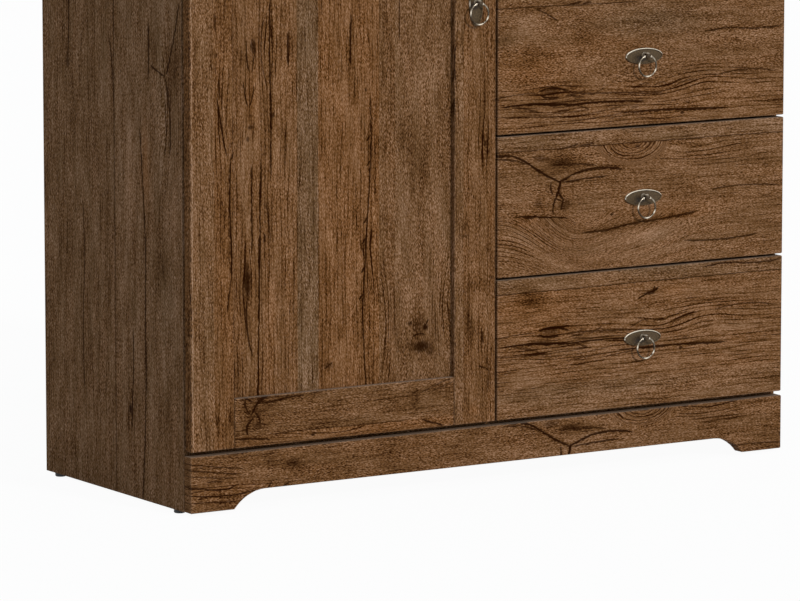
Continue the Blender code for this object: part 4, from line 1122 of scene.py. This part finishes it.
def headGrid(kind):      # height * (1 - share^4), less a cross of two soft grooves
    head = heads[kind]
    share = np.concatenate([[0.0, 1.0], np.linspace(1.0, 0.0, headShape["domeSteps"])])[:, None]
    turn = np.linspace(0, fullTurn, headShape["turnSteps"], endpoint=False)[None]
    sideways, upward = [head["radius"] * share * wave for wave in (np.cos(turn), np.sin(turn))]
    near = np.minimum(abs(sideways), abs(upward))
    far = np.maximum(abs(sideways), abs(upward))
    cut = np.clip((head["armWidth"] - near) / headShape["armSide"], 0, 1)
    cut = cut * np.clip((head["armReach"] - far) / headShape["armEnd"], 0, 1)
    out = head["height"] * (1 - share ** 4) - head["depth"] * cut
    out[:2] = -headShape["sunk"]         # the flat underside
    return np.stack([sideways, upward, out], -1)


def addHeads(name, kind, spots, way, body):
    head = headGrid(kind)
    addPiece(name, [placed(head, way, spot) for spot in spots], hingeSteel, body)


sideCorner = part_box("side_left")[0]
wingX = sideCorner.x + (hingeFit["board"] + hingeFit["wing"]) * millimetre
wingY = sideCorner.y + hingeFit["wingMiddle"] * millimetre
wingSpots, earSpots = [], []
for cup in ("hinge_cup_upper", "hinge_cup_lower"):
    low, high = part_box(cup)
    middle = (low + high) / 2
    for side in (-millimetre, millimetre):
        wingSpots.append((wingX, wingY, middle.z + side * hingeFit["wingScrew"]))
        earSpots.append((middle.x, high.y, middle.z + side * hingeFit["earScrew"]))
addHeads("hinge_wing_screws", "screw", wingSpots, "right", "carcass")
addHeads("hinge_cup_screws", "screw", earSpots, "back", "door")
for owner in owners:
    low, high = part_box(owner + "_plate")
    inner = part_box("door_stile_handle" if owner == "door" else owner + "_front")[1].y
    spot = ((low.x + high.x) / 2, inner, (low.z + high.z) / 2 + pull["drop"] * millimetre)
    addHeads(owner + "_pull_screw", "pull", [spot], "back", owner)

low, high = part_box("back_panel")
inset = nailInset * millimetre
columns, rows = [int(span / (nailPitch * millimetre)) for span in (high.x - low.x, high.z - low.z)]
acrossBack = np.linspace(low.x + inset, high.x - inset, columns + 1)
upBack = np.linspace(low.z + inset, high.z - inset, rows + 1)
nailSpots = [(x, high.y, z) for x in acrossBack for z in upBack[[0, -1]]]
nailSpots += [(x, high.y, z) for x in acrossBack[[0, -1]] for z in upBack[1:-1]]
addHeads("back_nails", "nail", nailSpots, "back", "carcass")
print("screws and nails made")


# floor, light and camera

room = dict(floorReach=40.0, floorColour=(0.9, 0.9, 0.9, 1.0), floorGlow=0.955, fill=(0.84, 0.92, 1.0, 1.0),
            fillStrength=0.5, keyStrength=1.6, keyTurn=13.0, keyRise=27.0, keySpread=7.0)
view = dict(place=(-3.9683, -6.2256, 1.2998), yaw=32.299, pitch=8.291, lens=247.45, sensor=36.0, far=200.0)
white = (1, 1, 1, 1)


def seenRays(w):         # 1 for camera, glossy and transmission rays
    rays = w.add("LightPath").outputs
    return w.larger(w.larger(rays["Is Camera Ray"], rays["Is Glossy Ray"]), rays["Is Transmission Ray"])


def clearWiring(owner):
    owner.use_nodes = True
    owner.node_tree.nodes.clear()
    return Wiring(owner.node_tree)


def makeRoom():
    reach = room["floorReach"]
    mesh = bpy.data.meshes.new("floor")
    corners = [(-reach, -reach, 0), (reach, -reach, 0), (reach, reach, 0), (-reach, reach, 0)]
    mesh.from_pydata(corners, [], [(0, 1, 2, 3)])
    floor = bpy.data.objects.new("floor", mesh)
    bpy.context.scene.collection.objects.link(floor)
    material = bpy.data.materials.new("white_floor")
    w = clearWiring(material)
    diffuse = w.add("BsdfDiffuse", room["floorColour"]).outputs[0]
    glow = w.add("Emission", white, 1.0).outputs[0]
    factor = w.times(seenRays(w), room["floorGlow"])
    w.add("OutputMaterial", w.add("MixShader", factor, diffuse, glow).outputs[0])
    mesh.materials.append(material)

    world = bpy.data.worlds.new("studio")
    bpy.context.scene.world = world
    w = clearWiring(world)
    fill = w.add("Background", room["fill"], room["fillStrength"]).outputs[0]
    backdrop = w.add("Background", white, 1.0).outputs[0]
    w.add("OutputWorld", w.add("MixShader", seenRays(w), fill, backdrop).outputs[0])

    key = bpy.data.objects.new("key", bpy.data.lights.new("key", "SUN"))
    key.data.energy = room["keyStrength"]
    key.data.angle = radians(room["keySpread"])
    key.rotation_euler = (radians(90 - room["keyRise"]), 0, radians(room["keyTurn"]))
    bpy.context.scene.collection.objects.link(key)


def makeCamera():
    camera = bpy.data.objects.new("camera", bpy.data.cameras.new("camera"))
    camera.data.lens = view["lens"]
    camera.data.sensor_width = view["sensor"]
    camera.data.sensor_fit = "HORIZONTAL"
    camera.data.clip_end = view["far"]
    camera.location = view["place"]
    camera.rotation_euler = (radians(90 - view["pitch"]), 0, radians(-view["yaw"]))
    bpy.context.scene.collection.objects.link(camera)
    bpy.context.scene.camera = camera


makeRoom()
makeCamera()
bpy.context.scene.view_settings.view_transform = "Standard"
print("floor, light and camera made")
